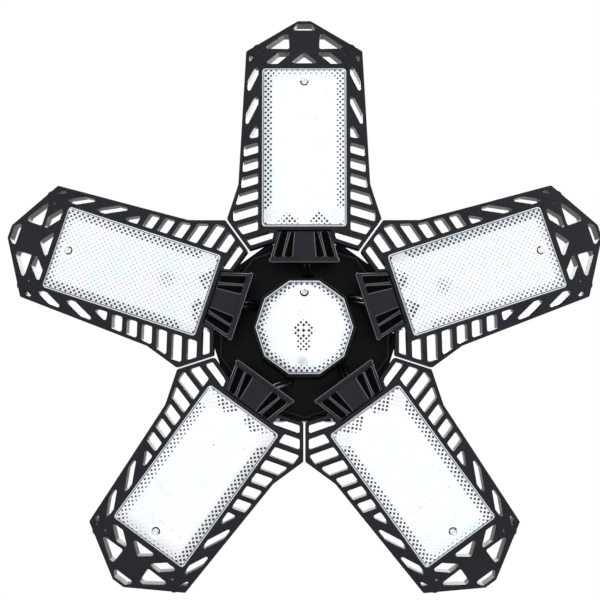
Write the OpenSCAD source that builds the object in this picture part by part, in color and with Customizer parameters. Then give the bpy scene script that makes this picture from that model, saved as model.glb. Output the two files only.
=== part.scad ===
// Screw-in ceiling light with five lattice panels that fold about hinges on a ten-sided hub.
// The origin is on the hub's axis, where the metal cap meets the neck. The cap points up, +Z,
// and the panels hang below with their lenses facing down. Panel 1 points along -Y.

/* [Screw cap] */
// Outer radius of the cap's plain skirt
cap_r = 13.1; // [12.8:0.05:13.3]
// Height of the plain skirt
skirt_h = 4.5; // [4.2:0.1:6]
// Distance between thread crests
thread_pitch = 3.63; // [3.4:0.01:3.9]
// Number of thread crests
thread_turns = 4; // [3:1:5]
// Depth of the thread
thread_depth = 0.9; // [0.6:0.1:1.2]
// Wall of the cap's shell
shell_wall = 0.8; // [0.6:0.1:1.2]
// Height of the curled top of the shell
shell_curl_h = 1.6; // [1.2:0.1:2]
// Height of the insulator above the shell
insulator_h = 2.8; // [2:0.1:4]
// Radius of the centre contact
contact_r = 4.9; // [4:0.1:6]
// Height of the centre contact
contact_h = 2.2; // [1.6:0.1:3]

/* [Neck] */
// Radius of the neck under the cap
neck_r = 15.1; // [14.6:0.1:17]
// Radius at the foot of the neck
neck_foot_r = 17.6; // [17:0.1:20]
// Height of the round neck
neck_h = 11; // [8:0.5:16]
// Height of the flared shoulder
flare_h = 8.2; // [6:0.2:12]
// Thickness of the shoulder's edge
flange_t = 1.3; // [1:0.1:2.5]
// Wall of the neck cover
neck_wall = 2; // [1.6:0.1:2.6]

/* [Housing] */
// Greatest corner radius of the housing
housing_r = 51; // [50:0.1:52]
// Draw-in of the housing's corners at its top
housing_top_in = 5.8; // [4.5:0.1:7]
// Draw-in of the housing's corners at its foot
housing_foot_in = 2.1; // [1:0.1:2.8]
// Height of the sloping top edge
housing_bevel_h = 4.5; // [3:0.5:7]
// Height of the upright band below it
housing_band_h = 8; // [5:0.5:12]
// Height of the whole housing
housing_h = 46; // [42:0.5:54]
// Wall of the housing
housing_wall = 2.8; // [2.4:0.1:3.4]
// Width of one groove between the cooling ribs
groove_w = 2.3; // [1.6:0.1:2.8]
// Depth of the grooves
groove_depth = 1.1; // [0.6:0.1:1.4]
// Distance between the grooves
groove_pitch = 4; // [3.6:0.1:4.4]
// Number of grooves on a ribbed side
groove_count = 6; // [4:1:6]
// Width of the shallow recess on a plain side
recess_w = 21; // [14:0.5:24]
// Depth of the recess
recess_depth = 0.7; // [0.4:0.1:1]

/* [Hub base] */
// Thickness of the base plate
base_t = 1.8; // [1.5:0.1:2.5]
// Height of the base plate's lip inside the housing
base_lip_h = 3; // [2:0.5:5]
// Drop from the base plate to the hinge axis
pivot_drop = 6; // [5.9:0.1:7]
// Distance of the hinge axis inside the flat sides of the housing's foot
pivot_inset = 2.3; // [1.8:0.1:3]
// Width of the hinge knuckle
knuckle_w = 14.2; // [13.6:0.1:14.4]
// Radius of the knuckle round the bolt
knuckle_r = 5; // [4.4:0.1:5.4]
// Distance of the base plate's corners inside the corners of the housing's foot
plate_inset = 3.8; // [3:0.1:4]
// Distance of the base screws inside the foot of the centre tray
base_screw_inset = 5.8; // [5.6:0.1:7]

/* [Hinge] */
// Radius of the hinge bolt
bolt_r = 2; // [1.6:0.1:2.3]
// Radial gap between a bolt and its bores
bolt_fit = 0.05; // [0.02:0.01:0.09]
// Thickness of a hinge lug
lug_t = 3.7; // [3.4:0.1:3.8]
// Radius of the lug round the bolt
lug_r = 4.8; // [4.2:0.1:5]
// Thickness of a friction washer
washer_t = 1.9; // [1.6:0.05:2]
// Radius of the bolt's head
bolt_head_r = 3.5; // [3:0.1:4]
// Height of the bolt's head and of its nut
bolt_head_h = 2.6; // [1.8:0.1:3]

/* [Panel] */
// Length of the star-shaped tip beyond the lens
tip_l = 23.7; // [23:0.1:27]
// Half of the flat at the tip
tip_half = 3.2; // [2:0.1:5]
// Distance of the shoulders from the tip
shoulder_inset = 15.2; // [14.8:0.1:15.6]
// Width of the frame beside the lens, at the shoulders
shoulder_w = 8; // [7.7:0.1:9]
// Width of the frame beside the lens, at the kink in its sides
kink_w = 11.6; // [11:0.1:12.4]
// Distance of the kink beyond the lens's inner end
kink_out = 20.5; // [18:0.1:23]
// Distance of the panel's widest place beyond the lens's inner end
wide_out = 3.5; // [3:0.1:4.6]
// Reach of the panel's inner corners past the lens
corner_reach = 11.6; // [11.2:0.1:12]
// Reach of the inner edge beside the bracket past the lens
tongue_reach = 7.8; // [7.6:0.1:8.2]
// Half of the width of that edge
tongue_half = 15.1; // [14.9:0.1:15.6]
// Gap between neighbouring panels
panel_gap = 0.9; // [0.7:0.1:2]
// Depth of the panel's rails
panel_t = 9; // [8.6:0.1:11]
// Drop from the hinge axis to the back of the panel
panel_drop = 13; // [12.5:0.5:16]
// Width of the outer rails
rail_w = 1.8; // [1.5:0.1:2]
// Thickness of the tray floor behind the board
floor_t = 1.6; // [1.2:0.1:1.8]
// Thickness of a cooling rib on the back
rib_t = 1.2; // [0.8:0.1:1.8]
// Number of cooling ribs on the back
rib_count = 9; // [5:2:11]

/* [Panel lattice] */
// Reach of the side windows past the lens's inner end
bars_reach = 4.3; // [4:0.1:4.8]
// Distance from one side window to the next
bar_pitch = 7.63; // [7.5:0.01:7.7]
// Width of the bars between the side windows
bar_w = 2.4; // [2:0.1:2.8]
// Slope of the bars
bar_slope = 0.296; // [0.2:0.01:0.34]
// Distance of the first truss window from the shoulders
truss_inset = 4.5; // [4.2:0.1:4.8]
// Open share of the truss's pitch
truss_open = 0.48; // [0.42:0.01:0.54]
// Slope of the truss diagonals
truss_slope = 2; // [1.8:0.05:2.2]
// Half of the width of the solid block at the tip
block_half = 7.4; // [7:0.1:8]
// Distance of the block's outer edge from the tip
block_inset = 4.8; // [4.4:0.1:5.2]
// Width of the cross bar inside the tip
cross_w = 1.5; // [1.2:0.1:1.8]
// Radius of the round bosses at the shoulders
boss_r = 2.5; // [2.2:0.1:2.8]
// Radius of the windows' corners
corner_r = 0.8; // [0.4:0.1:1]

/* [Panel lens] */
// Length of the lens
lens_l = 78.2; // [77:0.1:79]
// Width of the lens
lens_w = 41.3; // [40:0.1:41.6]
// Distance of the lens's inner end beyond the hinge axis
lens_out = 5; // [4.8:0.1:5.6]
// Thickness of the lens
lens_t = 1.8; // [1.4:0.1:2]
// Radius of the lens's corners
lens_corner_r = 1.4; // [0.8:0.1:2]
// Gap between the lens and its rebate
lens_fit = 0.15; // [0.1:0.01:0.2]
// Width of the rim round the lens
rim_w = 1.8; // [1.6:0.1:1.8]
// Width of the ledge that the lens rests on
ledge_w = 1.2; // [0.8:0.1:1.6]
// Distance of the lens screw from the lens's outer end
lens_screw_inset = 6.5; // [6:0.1:7.4]

/* [LED boards] */
// Thickness of a board
board_t = 1.4; // [1:0.1:1.8]
// Size of an LED chip
chip_size = 2.8; // [2.4:0.1:3]
// Height of an LED chip
chip_h = 0.7; // [0.5:0.1:0.9]
// Distance between chips across the panel
chip_pitch = 5.4; // [5:0.05:6]
// Distance between rows of chips
row_pitch = 12.9; // [12:0.1:13.2]
// Number of rows on a panel
row_count = 5; // [3:1:5]

/* [Hinge bracket] */
// Reach of the bracket's plate inside the hinge axis
bracket_reach = 12.7; // [12.4:0.1:13]
// Half of the bracket's width at its inner edge
bracket_half = 17.1; // [16.8:0.1:17.6]
// Half of the bracket's width at its outer edge
bracket_end_half = 13; // [12.8:0.1:13.2]
// Thickness of the bracket's plate
bracket_t = 3.4; // [3:0.1:3.6]
// Depth of the bracket's pockets
pocket_depth = 2.4; // [1.8:0.1:2.4]
// Height of the lip above the plate
lip_h = 1; // [0.6:0.1:1.2]
// Width of the lip
lip_w = 2; // [1.6:0.1:2.6]

/* [Centre light] */
// Gap between the foot of the centre tray and the brackets
centre_gap = 6.1; // [5.8:0.1:7]
// Width of the tray's rim round the lens, at the corners
tray_rim_w = 1.3; // [1.1:0.1:1.6]
// Flare of the tray from its rim to its foot
tray_flare = 1.6; // [1.2:0.1:2]
// Height of the rim of the tray above the lens faces of the panels
tray_rise = 1.6; // [1:0.1:3]
// Distance of the centre lens screw from the lens's side
centre_screw_inset = 5.6; // [5.4:0.1:6]
// Distance of the tray's two screws from the lens's side
tray_screw_inset = 9.4; // [9.2:0.1:10]

/* [Driver] */
// Gap between the driver board and the housing's wall
driver_gap = 6.1; // [4:0.1:8]
// Height of the driver board above the base plate
driver_rise = 8.5; // [7:0.5:10]
// Radius of the input capacitor
capacitor_r = 5; // [4:0.1:6]
// Height of the input capacitor
capacitor_h = 17; // [12:0.5:20]
// Length of the transformer's core
core_l = 19; // [16:0.5:22]

/* [Hidden] */
$fn = 48;
panel_count = 5;
bar_count = 6;
panel_names = ["panel_frame_", "led_board_", "panel_lens_", "lens_screw_", "hinge_bracket_",
    "bracket_screws_", "panel_lead_"];
hub_names = ["screw_shell", "cap_insulator", "eyelet_contact", "neck_cover", "driver_housing",
    "hub_base", "hub_screws", "driver_board", "transformer", "input_capacitor", "live_lead",
    "neutral_lead", "centre_lead", "centre_tray", "tray_screws", "centre_led_board", "centre_lens",
    "centre_lens_screw", "hinge_bolts", "hinge_nuts", "friction_washers"];

sector = 360 / panel_count;
half_sector = sector / 2;
seat = 0.1;          // gap between pieces screwed to each other
swing = 0.3;         // gap between pieces that move past each other
screw_r = 1.45;      // shank of every small screw
tap_r = 1.48;        // the hole that a small screw is driven into
screw_gap = 0.2;     // radial gap round a shank where it only passes through
head_r = 2.5;        // head of every small screw
head_h = 1.6;
head_gap = 0.3;      // radial gap round a sunk head
hub_screw_l = 10;    // shanks, by what they hold
tray_screw_l = 8;
centre_screw_l = 5.5;
lens_screw_l = 6;
bracket_screw_l = 6;
post_r = 3;          // posts that screws reach into
board_post_r = 2.4;  // posts of the driver board, each with a locating pin
pin_r = 1.1;
bore_r = 2.6;        // bores that the leads pass through
first_row_gap = 5.1; // from the lens screw to the first row of chips
driver_board_t = 1.6;
thin_wire_r = 0.8;
arc_steps = 2;       // straight pieces in a rounded corner
inner_end_gap = 0.2; // between the bracket's end and the rim of the lens

// Heights, from the cap's seat down to the lens faces
shell_r = cap_r - thread_depth - shell_wall;
shell_top_z = skirt_h + thread_turns * thread_pitch + 1;
insulator_top_z = shell_top_z + shell_curl_h + insulator_h;
shell_mouth_r = shell_r - 2.4;
neck_bore_r = shell_r - neck_wall;
housing_z = -neck_h - flare_h - flange_t;
base_z = housing_z - housing_h;
plate_z = base_z - base_t;
pivot_z = plate_z - pivot_drop;
back_z = pivot_z - panel_drop;
face_z = back_z - panel_t;
tray_z = face_z + tray_rise;
driver_z = base_z + driver_rise;
driver_top_z = driver_z + driver_board_t;

apothem = cos(half_sector / 2); // of a ten-sided outline, for a corner radius of 1
housing_top_r = housing_r - housing_top_in;
housing_foot_r = housing_r - housing_foot_in;
plate_r = housing_foot_r - plate_inset;
driver_r = housing_foot_r * apothem - housing_wall - driver_gap;
pivot_r = housing_foot_r * apothem - pivot_inset;
flange_r = housing_top_r * apothem - 0.4;
knuckle_half = knuckle_w / 2;
lug_in = knuckle_half + washer_t + swing;
lug_out = lug_in + lug_t;
lug_mid = (lug_in + lug_out) / 2;
bolt_bore = bolt_r + bolt_fit;

// Panel section, as depths behind the lens face
lens_w0 = 0.3;
ledge_z = lens_w0 + lens_t;
floor_w = ledge_z + 3.3;
floor_back = floor_w + floor_t;
plate_front = 1.2;
plate_back = plate_front + bracket_t;
tongue_w = plate_back + seat;
lens_half = lens_w / 2;
lens_v = pivot_r + lens_out;
lens_end = lens_v + lens_l;
lens_screw_v = lens_end - lens_screw_inset;
rim_half = lens_half + lens_fit + rim_w;
rim_v = lens_v - lens_fit - rim_w;
rim_end = lens_end + lens_fit + rim_w;
bracket_v = pivot_r - bracket_reach;
bracket_end = rim_v - inner_end_gap;

// The panel's outline, as distances from the hub's axis and half widths
tip_v = lens_end + tip_l;
shoulder_v = tip_v - shoulder_inset;
shoulder_half = lens_half + shoulder_w;
kink_v = lens_v + kink_out;
kink_half = lens_half + kink_w;
wide_v = lens_v + wide_out;
inner_v = lens_v - corner_reach;
tongue_v = lens_v - tongue_reach;
block_v = tip_v - block_inset;

bracket_screw_v = (tongue_v + rim_v) / 2;
bracket_screw_u = head_r + 0.6;
lead_hole_v = lens_v + 6;
wire_r = 0.95;
wire_gap = 0.4;
tray_foot_r = (bracket_v - centre_gap) / apothem;
tray_rim_r = tray_foot_r - tray_flare;
centre_lens_r = tray_rim_r - tray_rim_w;
tray_floor_z = tray_z + lens_t + 3.6;
tray_floor_t = 2;
tray_wall = 1.8;
centre_screw_v = centre_lens_r * apothem - centre_screw_inset;
tray_screw_u = centre_lens_r * apothem - tray_screw_inset;
base_screw_r = tray_foot_r * apothem - base_screw_inset;
centre_lead_v = centre_lens_r * 0.48;
lead_exit_r = (tray_foot_r * apothem + bracket_v) / 2;
lead_turns = [3.4, -15, -8, -19, 7.3]; // where each lead leaves the hub, from its panel's line

// ---- Shapes used by several pieces ----

function unit(v) = v / norm(v);

// An outline with each corner replaced by an arc
function rounded(points, r) = [
    for (i = [0 : len(points) - 1])
        let (
            p = points[i],
            before = points[(i + len(points) - 1) % len(points)] - p,
            after = points[(i + 1) % len(points)] - p,
            half = acos(unit(before) * unit(after)) / 2,
            reach = min(r / tan(half), 0.45 * norm(before), 0.45 * norm(after)),
            arc_r = reach * tan(half),
            centre = p + unit(unit(before) + unit(after)) * arc_r / sin(half),
            from = p + unit(before) * reach - centre,
            to = p + unit(after) * reach - centre,
            start = atan2(from.y, from.x),
            turn = (atan2(to.y, to.x) - start + 540) % 360 - 180
        )
        for (j = [0 : arc_steps])
            centre + arc_r * [cos(start + turn * j / arc_steps), sin(start + turn * j / arc_steps)]
];

// Half of an outline, given for positive u, made whole
function both_sides(half) = concat(half, [for (i = [len(half) - 1 : -1 : 0]) [half[i].x, -half[i].y]]);

function other_side(points) = [for (p = points) [p.x, -p.y]];

function box_outline(v0, v1, half) = [[v0, -half], [v1, -half], [v1, half], [v0, half]];

// Where the line through a and b, moved inwards by d, meets the one through b and c
function inset_corner(a, b, c, d) =
    let (
        n1 = unit([(b - a).y, -(b - a).x]),
        n2 = unit([(c - b).y, -(c - b).x])
    )
    b + d * (n1 + n2) / (1 + n1 * n2);

// Ten-sided rings, each [z, corner radius], joined into one solid
module ten_sided(levels) {
    sides = 2 * panel_count;
    top = len(levels) - 1;
    polyhedron(
        points = [for (level = levels) for (i = [0 : sides - 1])
            [level[1] * cos(i * 360 / sides), level[1] * sin(i * 360 / sides), level[0]]],
        faces = concat(
            [[for (i = [0 : sides - 1]) i]],
            [for (j = [0 : top - 1]) for (i = [0 : sides - 1])
                [j * sides + i, (j + 1) * sides + i, (j + 1) * sides + (i + 1) % sides,
                    j * sides + (i + 1) % sides]],
            [[for (i = [sides - 1 : -1 : 0]) top * sides + i]]
        )
    );
}

// A route through points, rounded between them
function curve(p0, p1, p2, p3, t) =
    0.5 * (2 * p1 + (p2 - p0) * t + (2 * p0 - 5 * p1 + 4 * p2 - p3) * t * t
        + (3 * p1 - p0 - 3 * p2 + p3) * t * t * t);

function route(points, steps) = [
    for (i = [0 : len(points) - 2])
        for (j = [0 : steps - 1])
            curve(points[max(i - 1, 0)], points[i], points[i + 1],
                points[min(i + 2, len(points) - 1)], j / steps),
    points[len(points) - 1]
];

// A round wire along a route, moved sideways by shift
module wire(points, r, shift) {
    sides = 8;
    last = len(points) - 1;
    across = [0, 1, 0];
    rings = [
        for (i = [0 : last])
            let (
                along = i == 0 || i == last ? [0, 0, points[min(i + 1, last)].z - points[max(i - 1, 0)].z]
                    : points[i + 1] - points[i - 1],
                t = unit(along),
                side = unit(across - t * (across * t)),
                up = cross(t, side)
            )
            for (j = [0 : sides - 1])
                points[i] + side * (shift + r * cos(j * 360 / sides)) + up * r * sin(j * 360 / sides)
    ];
    polyhedron(
        points = rings,
        faces = concat(
            [[for (j = [0 : sides - 1]) j]],
            [for (i = [0 : last - 1]) for (j = [0 : sides - 1])
                [i * sides + j, (i + 1) * sides + j, (i + 1) * sides + (j + 1) % sides,
                    i * sides + (j + 1) % sides]],
            [[for (j = [sides - 1 : -1 : 0]) last * sides + j]]
        )
    );
}

// Two wires side by side
module twin_lead(points) {
    for (s = [-1, 1])
        wire(route(points, 2), wire_r, s * (wire_r + wire_gap / 2));
}

module at_panel(k) {
    rotate([0, 0, (k - 1) * sector - 90]) children();
}

module at_each_panel() {
    for (k = [1 : panel_count]) at_panel(k) children();
}

module at_each_gap() {
    for (k = [1 : panel_count]) at_panel(k) rotate([0, 0, half_sector]) children();
}

// A flat outline raised from depth w0 to w1 behind the lens face
module slab(outline, w0, w1) {
    translate([0, 0, face_z + w0]) linear_extrude(w1 - w0) polygon(outline);
}

// A profile in the plane of the hub's axis and the panel, as thick as w and centred on u
module web(profile, u, w) {
    translate([0, u + w / 2, 0]) rotate([90, 0, 0]) linear_extrude(w) polygon(profile);
}

module drill(r, z0, z1) {
    translate([0, 0, z0]) cylinder(r = r, h = z1 - z0);
}

// A pan-head screw whose head lies under z and whose shank runs up from there
module small_screw(length) {
    difference() {
        rotate_extrude() polygon([[0, -head_h], [head_r * 0.6, -head_h], [head_r * 0.9, -head_h * 0.7],
            [head_r, -head_h * 0.35], [head_r, 0], [screw_r, 0], [screw_r, length - 0.6],
            [screw_r - 0.6, length], [0, length]]);
        for (turn = [0, 90])
            rotate([0, 0, turn]) translate([-head_r * 0.6, -0.3, -head_h - 1])
                cube([head_r * 1.2, 0.6, 1.8]);
    }
}

// ---- Screw cap and neck ----

module screw_shell() {
    steps = 8;
    thread = [
        for (i = [0 : thread_turns * steps])
            [cap_r - thread_depth * (0.5 - 0.5 * cos(i * 360 / steps)), skirt_h + i * thread_pitch / steps]
    ];
    root_r = cap_r - thread_depth;
    color("silver") rotate_extrude() polygon(concat(
        [[shell_r, 0], [cap_r, 0]],
        thread,
        [[root_r, shell_top_z], [root_r - 0.5, shell_top_z + shell_curl_h * 0.6],
            [root_r - 1.6, shell_top_z + shell_curl_h], [shell_mouth_r, shell_top_z + shell_curl_h],
            [shell_mouth_r, shell_top_z + shell_curl_h - shell_wall],
            [root_r - shell_wall - 1.2, shell_top_z + shell_curl_h - shell_wall],
            [shell_r, shell_top_z - shell_wall]]
    ));
}

module cap_insulator() {
    flange_z = shell_top_z - 3;
    color("dimgray") rotate_extrude() polygon([
        [1.3, flange_z], [shell_r - seat, flange_z], [shell_r - seat, shell_top_z - shell_wall - seat],
        [shell_mouth_r - seat, shell_top_z - seat], [shell_mouth_r - seat, shell_top_z + shell_curl_h],
        [contact_r + 0.8, insulator_top_z], [1.3, insulator_top_z]
    ]);
}

module eyelet_contact() {
    steps = 5;
    dome = [for (i = [0 : steps])
        [contact_r * cos(i * 90 / steps), insulator_top_z + 0.6 + (contact_h - 0.6) * sin(i * 90 / steps)]];
    color("silver") rotate_extrude() polygon(concat(
        [[0, insulator_top_z - 2.5], [1.2, insulator_top_z - 2.5], [1.2, insulator_top_z],
            [contact_r, insulator_top_z]],
        dome
    ));
}

module neck_cover() {
    spigot_r = shell_r - seat;
    steps = 8;
    flare = [for (i = [0 : steps])
        let (t = i / steps)
        [neck_foot_r + (flange_r - neck_foot_r) * t, -neck_h - flare_h * (1 - pow(1 - t, 3.2))]];
    inside = [for (i = [steps - 1 : -1 : 0]) [max(flare[i].x - neck_wall * 0.6, spigot_r - neck_wall),
        flare[i].y - neck_wall * (i == 0 ? 0 : 0.9)]];
    color("#17181b") rotate_extrude() polygon(concat(
        [[spigot_r - neck_wall, skirt_h - 0.5], [spigot_r, skirt_h - 0.5], [spigot_r, 0],
            [neck_r - 0.8, 0], [neck_r, -0.8]],
        flare,
        [[flange_r, housing_z], [flange_r - 3, housing_z]],
        [for (p = inside) if (p.y > housing_z) p],
        [[spigot_r - neck_wall, -neck_h + 2]]
    ));
}

// ---- Housing and base ----

function housing_levels(inset) = [
    [base_z, housing_foot_r - inset],
    [housing_z - housing_bevel_h - housing_band_h, housing_r - inset],
    [housing_z - housing_bevel_h, housing_r - inset],
    [housing_z, housing_top_r - inset]
];

// Cuts into a side of the housing, following its slope
module side_cut(width, depth, u) {
    side = [for (level = housing_levels(0)) [level[1] * apothem, level[0]]];
    slope = (side[1].x - side[0].x) / (side[1].y - side[0].y);
    foot = side[0].y + 2.5;
    web([
        [side[0].x + slope * 2.5 - depth, foot],
        [side[1].x - depth, side[1].y],
        [side[2].x - depth, side[2].y],
        [side[2].x + 3, side[2].y],
        [side[2].x + 3, foot]
    ], u, width);
}

// The three posts that the base screws reach up into
module at_base_screw() {
    for (turn = [90, 210, 330]) rotate([0, 0, turn]) translate([base_screw_r, 0, 0]) children();
}

module driver_housing() {
    inner_r = housing_wall / apothem;
    color("#1b1c20") difference() {
        union() {
            difference() {
                ten_sided(housing_levels(0));
                ten_sided([
                    [base_z - 1, housing_foot_r - inner_r],
                    [housing_z - housing_bevel_h - housing_band_h, housing_r - inner_r],
                    [housing_z - housing_bevel_h, housing_r - inner_r],
                    [housing_z - housing_wall, housing_top_r - inner_r]
                ]);
            }
            at_base_screw() drill(post_r, base_z + seat, housing_z - housing_wall / 2);
        }
        at_base_screw() drill(tap_r, base_z - 1, base_z + hub_screw_l + 2);
        at_each_gap() {
            for (i = [0 : groove_count - 1])
                side_cut(groove_w, groove_depth, (i - (groove_count - 1) / 2) * groove_pitch);
        }
        at_each_panel() side_cut(recess_w, recess_depth, 0);
        drill(shell_r - 3, housing_z - housing_wall - 1, housing_z + 1);
    }
}

module knuckle() {
    web(concat(
        [for (a = [180 : 15 : 360]) [pivot_r + knuckle_r * cos(a), pivot_z + knuckle_r * sin(a)]],
        [[pivot_r + knuckle_r, plate_z + 0.5], [pivot_r - knuckle_r - 3, plate_z + 0.5]]
    ), 0, knuckle_w);
}

// The three posts that the driver board stands on
module at_board_post() {
    for (turn = [0, 120, 240]) rotate([0, 0, turn]) translate([driver_r - 4, 0, 0]) children();
}

// The two posts that the centre tray is screwed to
module at_tray_post() {
    for (s = [-1, 1]) translate([s * tray_screw_u, 0, 0]) children();
}

// Its plate is turned, so that the corners lie under the flat sides of the housing
module hub_base() {
    lip_r = housing_foot_r - (housing_wall + swing) / apothem;
    lip_wall = 1.8;
    lip_z = base_z - 0.5;
    post_z = tray_floor_z + tray_floor_t + seat;
    color("#141518") difference() {
        union() {
            rotate([0, 0, half_sector / 2])
                ten_sided([[plate_z, plate_r - 0.8], [plate_z + 0.8, plate_r], [base_z, plate_r]]);
            translate([0, 0, lip_z]) linear_extrude(base_z + base_lip_h - lip_z) difference() {
                circle(r = lip_r, $fn = 2 * panel_count);
                circle(r = lip_r - lip_wall, $fn = 2 * panel_count);
            }
            translate([0, 0, lip_z])
                cylinder(r = lip_r - lip_wall / 2, h = base_z - lip_z, $fn = 2 * panel_count);
            at_each_panel() knuckle();
            at_board_post() drill(board_post_r, base_z - 0.5, driver_z - seat);
            at_board_post() drill(pin_r, base_z, driver_z + driver_board_t + 0.8);
            at_tray_post() drill(post_r, post_z, plate_z + 0.5);
        }
        at_each_panel() translate([pivot_r, 0, pivot_z]) rotate([90, 0, 0])
            cylinder(r = bolt_bore, h = 3 * knuckle_w, center = true);
        at_base_screw() drill(screw_r + screw_gap, plate_z - 1, base_z + 1);
        for (k = [1 : panel_count]) at_panel(k) rotate([0, 0, lead_turns[k - 1]])
            translate([lead_exit_r, 0, 0]) drill(bore_r, plate_z - 1, base_z + 1);
        translate([0, centre_lead_v, 0]) drill(bore_r, plate_z - 1, base_z + 1);
        at_tray_post() drill(tap_r, post_z - 1, post_z + tray_screw_l);
    }
}

module hub_screws() {
    color("dimgray") at_base_screw() translate([0, 0, plate_z]) small_screw(hub_screw_l);
}

// ---- Driver ----

module driver_board() {
    color("darkgreen") difference() {
        union() {
            drill(driver_r, driver_z, driver_top_z);
            for (i = [0 : 3])
                translate([driver_r * (i * 0.2 - 0.4), driver_r * 0.4, driver_top_z - 0.1])
                    cube([driver_r / 8, driver_r / 11, driver_r / 19]);
            translate([driver_r * 0.28, -driver_r * 0.55, driver_top_z - 0.1])
                cube([driver_r / 4, driver_r / 9, driver_r / 5]);
        }
        at_board_post() drill(pin_r + seat, driver_z - 1, driver_z + 3);
        at_base_screw() drill(post_r + swing, driver_z - 1, driver_z + 6);
    }
}

module transformer() {
    w = core_l * 0.6;
    h = core_l * 0.8;
    color("goldenrod") translate([driver_r * 0.22, driver_r * 0.11, driver_top_z + seat]) difference() {
        union() {
            translate([-core_l / 2, -w / 2, 0]) cube([core_l, w, h]);
            translate([0, 0, 2]) cylinder(r = w * 0.72, h = h - 4);
        }
        for (s = [-1, 1]) translate([s * (core_l / 2 - 4.5) - 0.8, -w, 2.5]) cube([1.6, 2 * w, 1.5]);
    }
}

module input_capacitor() {
    place = [-driver_r * 0.39, driver_r * 0.08, driver_top_z + seat];
    color("midnightblue") translate(place) rotate_extrude() polygon([
        [0, 0], [capacitor_r - 0.5, 0], [capacitor_r, 0.5], [capacitor_r, 1.4], [capacitor_r - 0.5, 1.9],
        [capacitor_r, 2.4], [capacitor_r, capacitor_h - 0.6], [capacitor_r - 0.6, capacitor_h],
        [capacitor_r - 1.2, capacitor_h - 0.3], [0, capacitor_h - 0.3]
    ]);
}

module live_lead() {
    color("firebrick") wire(route([
        [0, 0, insulator_top_z - 2.6],
        [0, 0, shell_top_z - 4],
        [0.1 * neck_bore_r, 0.2 * neck_bore_r, skirt_h],
        [-0.4 * neck_bore_r, 0.3 * neck_bore_r, -neck_h],
        [-0.6 * neck_bore_r, 0, housing_z - flare_h],
        [-0.3 * neck_bore_r, -1.3 * neck_bore_r, driver_z + neck_h],
        [-0.3 * neck_bore_r, -1.5 * neck_bore_r, driver_top_z + seat]
    ], 2), thin_wire_r, 0);
}

module neutral_lead() {
    color("white") wire(route([
        [shell_r - thin_wire_r - seat, 0, skirt_h + 5],
        [shell_r - thin_wire_r - 0.5, 0, skirt_h + 3.2],
        [neck_bore_r - thin_wire_r - 0.4, 0, skirt_h + 0.5],
        [neck_bore_r - thin_wire_r - 0.6, 0, 0],
        [0.6 * neck_bore_r, 0.3 * neck_bore_r, -neck_h - 1],
        [0.2 * neck_bore_r, 0.4 * neck_bore_r, housing_z - 3.5],
        [-0.4 * neck_bore_r, 1.5 * neck_bore_r, housing_z - 2 * flare_h],
        [-0.6 * neck_bore_r, 2.3 * neck_bore_r, driver_top_z + seat]
    ], 2), thin_wire_r, 0);
}

// ---- Centre light ----

module centre_tray() {
    color("#141518") difference() {
        ten_sided([[tray_z, tray_rim_r], [plate_z, tray_foot_r]]);
        ten_sided([[tray_z - 1, centre_lens_r + lens_fit], [tray_z + lens_t, centre_lens_r + lens_fit]]);
        ten_sided([[tray_z, centre_lens_r - ledge_w], [tray_floor_z, centre_lens_r - ledge_w]]);
        ten_sided([[tray_floor_z + tray_floor_t, tray_rim_r - tray_wall],
            [plate_z + 1, tray_foot_r - tray_wall]]);
        at_tray_post() drill(screw_r + screw_gap, tray_z, plate_z);
        translate([0, -centre_screw_v, 0]) drill(tap_r, tray_z, plate_z);
        translate([0, centre_lead_v, 0]) drill(bore_r, tray_z, plate_z);
    }
}

module tray_screws() {
    color("silver") at_tray_post() translate([0, 0, tray_floor_z]) small_screw(tray_screw_l);
}

module centre_led_board() {
    board_z = tray_floor_z - board_t;
    corner_r = centre_lens_r - ledge_w - swing;
    color("white") difference() {
        union() {
            ten_sided([[board_z, corner_r], [board_z + board_t, corner_r]]);
            for (ring = [[5, centre_lens_r * 0.32, 18], [10, centre_lens_r * 0.74, 0]])
                for (i = [0 : ring[0] - 1]) rotate([0, 0, i * 360 / ring[0] + ring[2]])
                    translate([ring[1] - chip_size / 2, -chip_size / 2, board_z - chip_h])
                        cube([chip_size, chip_size, chip_h + 0.2]);
        }
        at_tray_post() drill(head_r + head_gap, board_z - 5, board_z + 5);
        translate([0, -centre_screw_v, 0]) drill(screw_r + screw_gap, board_z - 5, board_z + 5);
    }
}

module centre_lens() {
    color("white") difference() {
        union() {
            ten_sided([[tray_z, centre_lens_r - 0.5], [tray_z + 0.5, centre_lens_r],
                [tray_z + lens_t - 0.05, centre_lens_r]]);
            translate([0, -centre_screw_v, 0]) drill(post_r, tray_z + 0.5, tray_floor_z - board_t - seat);
        }
        translate([0, -centre_screw_v, 0]) {
            drill(screw_r + screw_gap, tray_z - 1, tray_floor_z);
            drill(head_r + head_gap, tray_z - 1, tray_z + 1);
        }
    }
}

module centre_lens_screw() {
    color("silver") translate([0, -centre_screw_v, tray_z + 1]) small_screw(centre_screw_l);
}

// ---- Hinges ----

module across_hinge() {
    translate([pivot_r, 0, pivot_z]) rotate([-90, 0, 0]) children();
}

module hinge_bolts() {
    head_u = lug_out + swing;
    tail_u = -lug_out - swing - bolt_head_h - 0.8;
    color("silver") at_each_panel() across_hinge() difference() {
        rotate_extrude() polygon([[0, tail_u], [bolt_r - 0.4, tail_u], [bolt_r, tail_u + 0.4],
            [bolt_r, head_u], [bolt_head_r, head_u], [bolt_head_r, head_u + bolt_head_h - 0.4],
            [bolt_head_r - 0.4, head_u + bolt_head_h], [0, head_u + bolt_head_h]]);
        translate([0, 0, head_u + bolt_head_h - 1.4]) cylinder(r = bolt_head_r * 0.5, h = 3, $fn = 6);
    }
}

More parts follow.
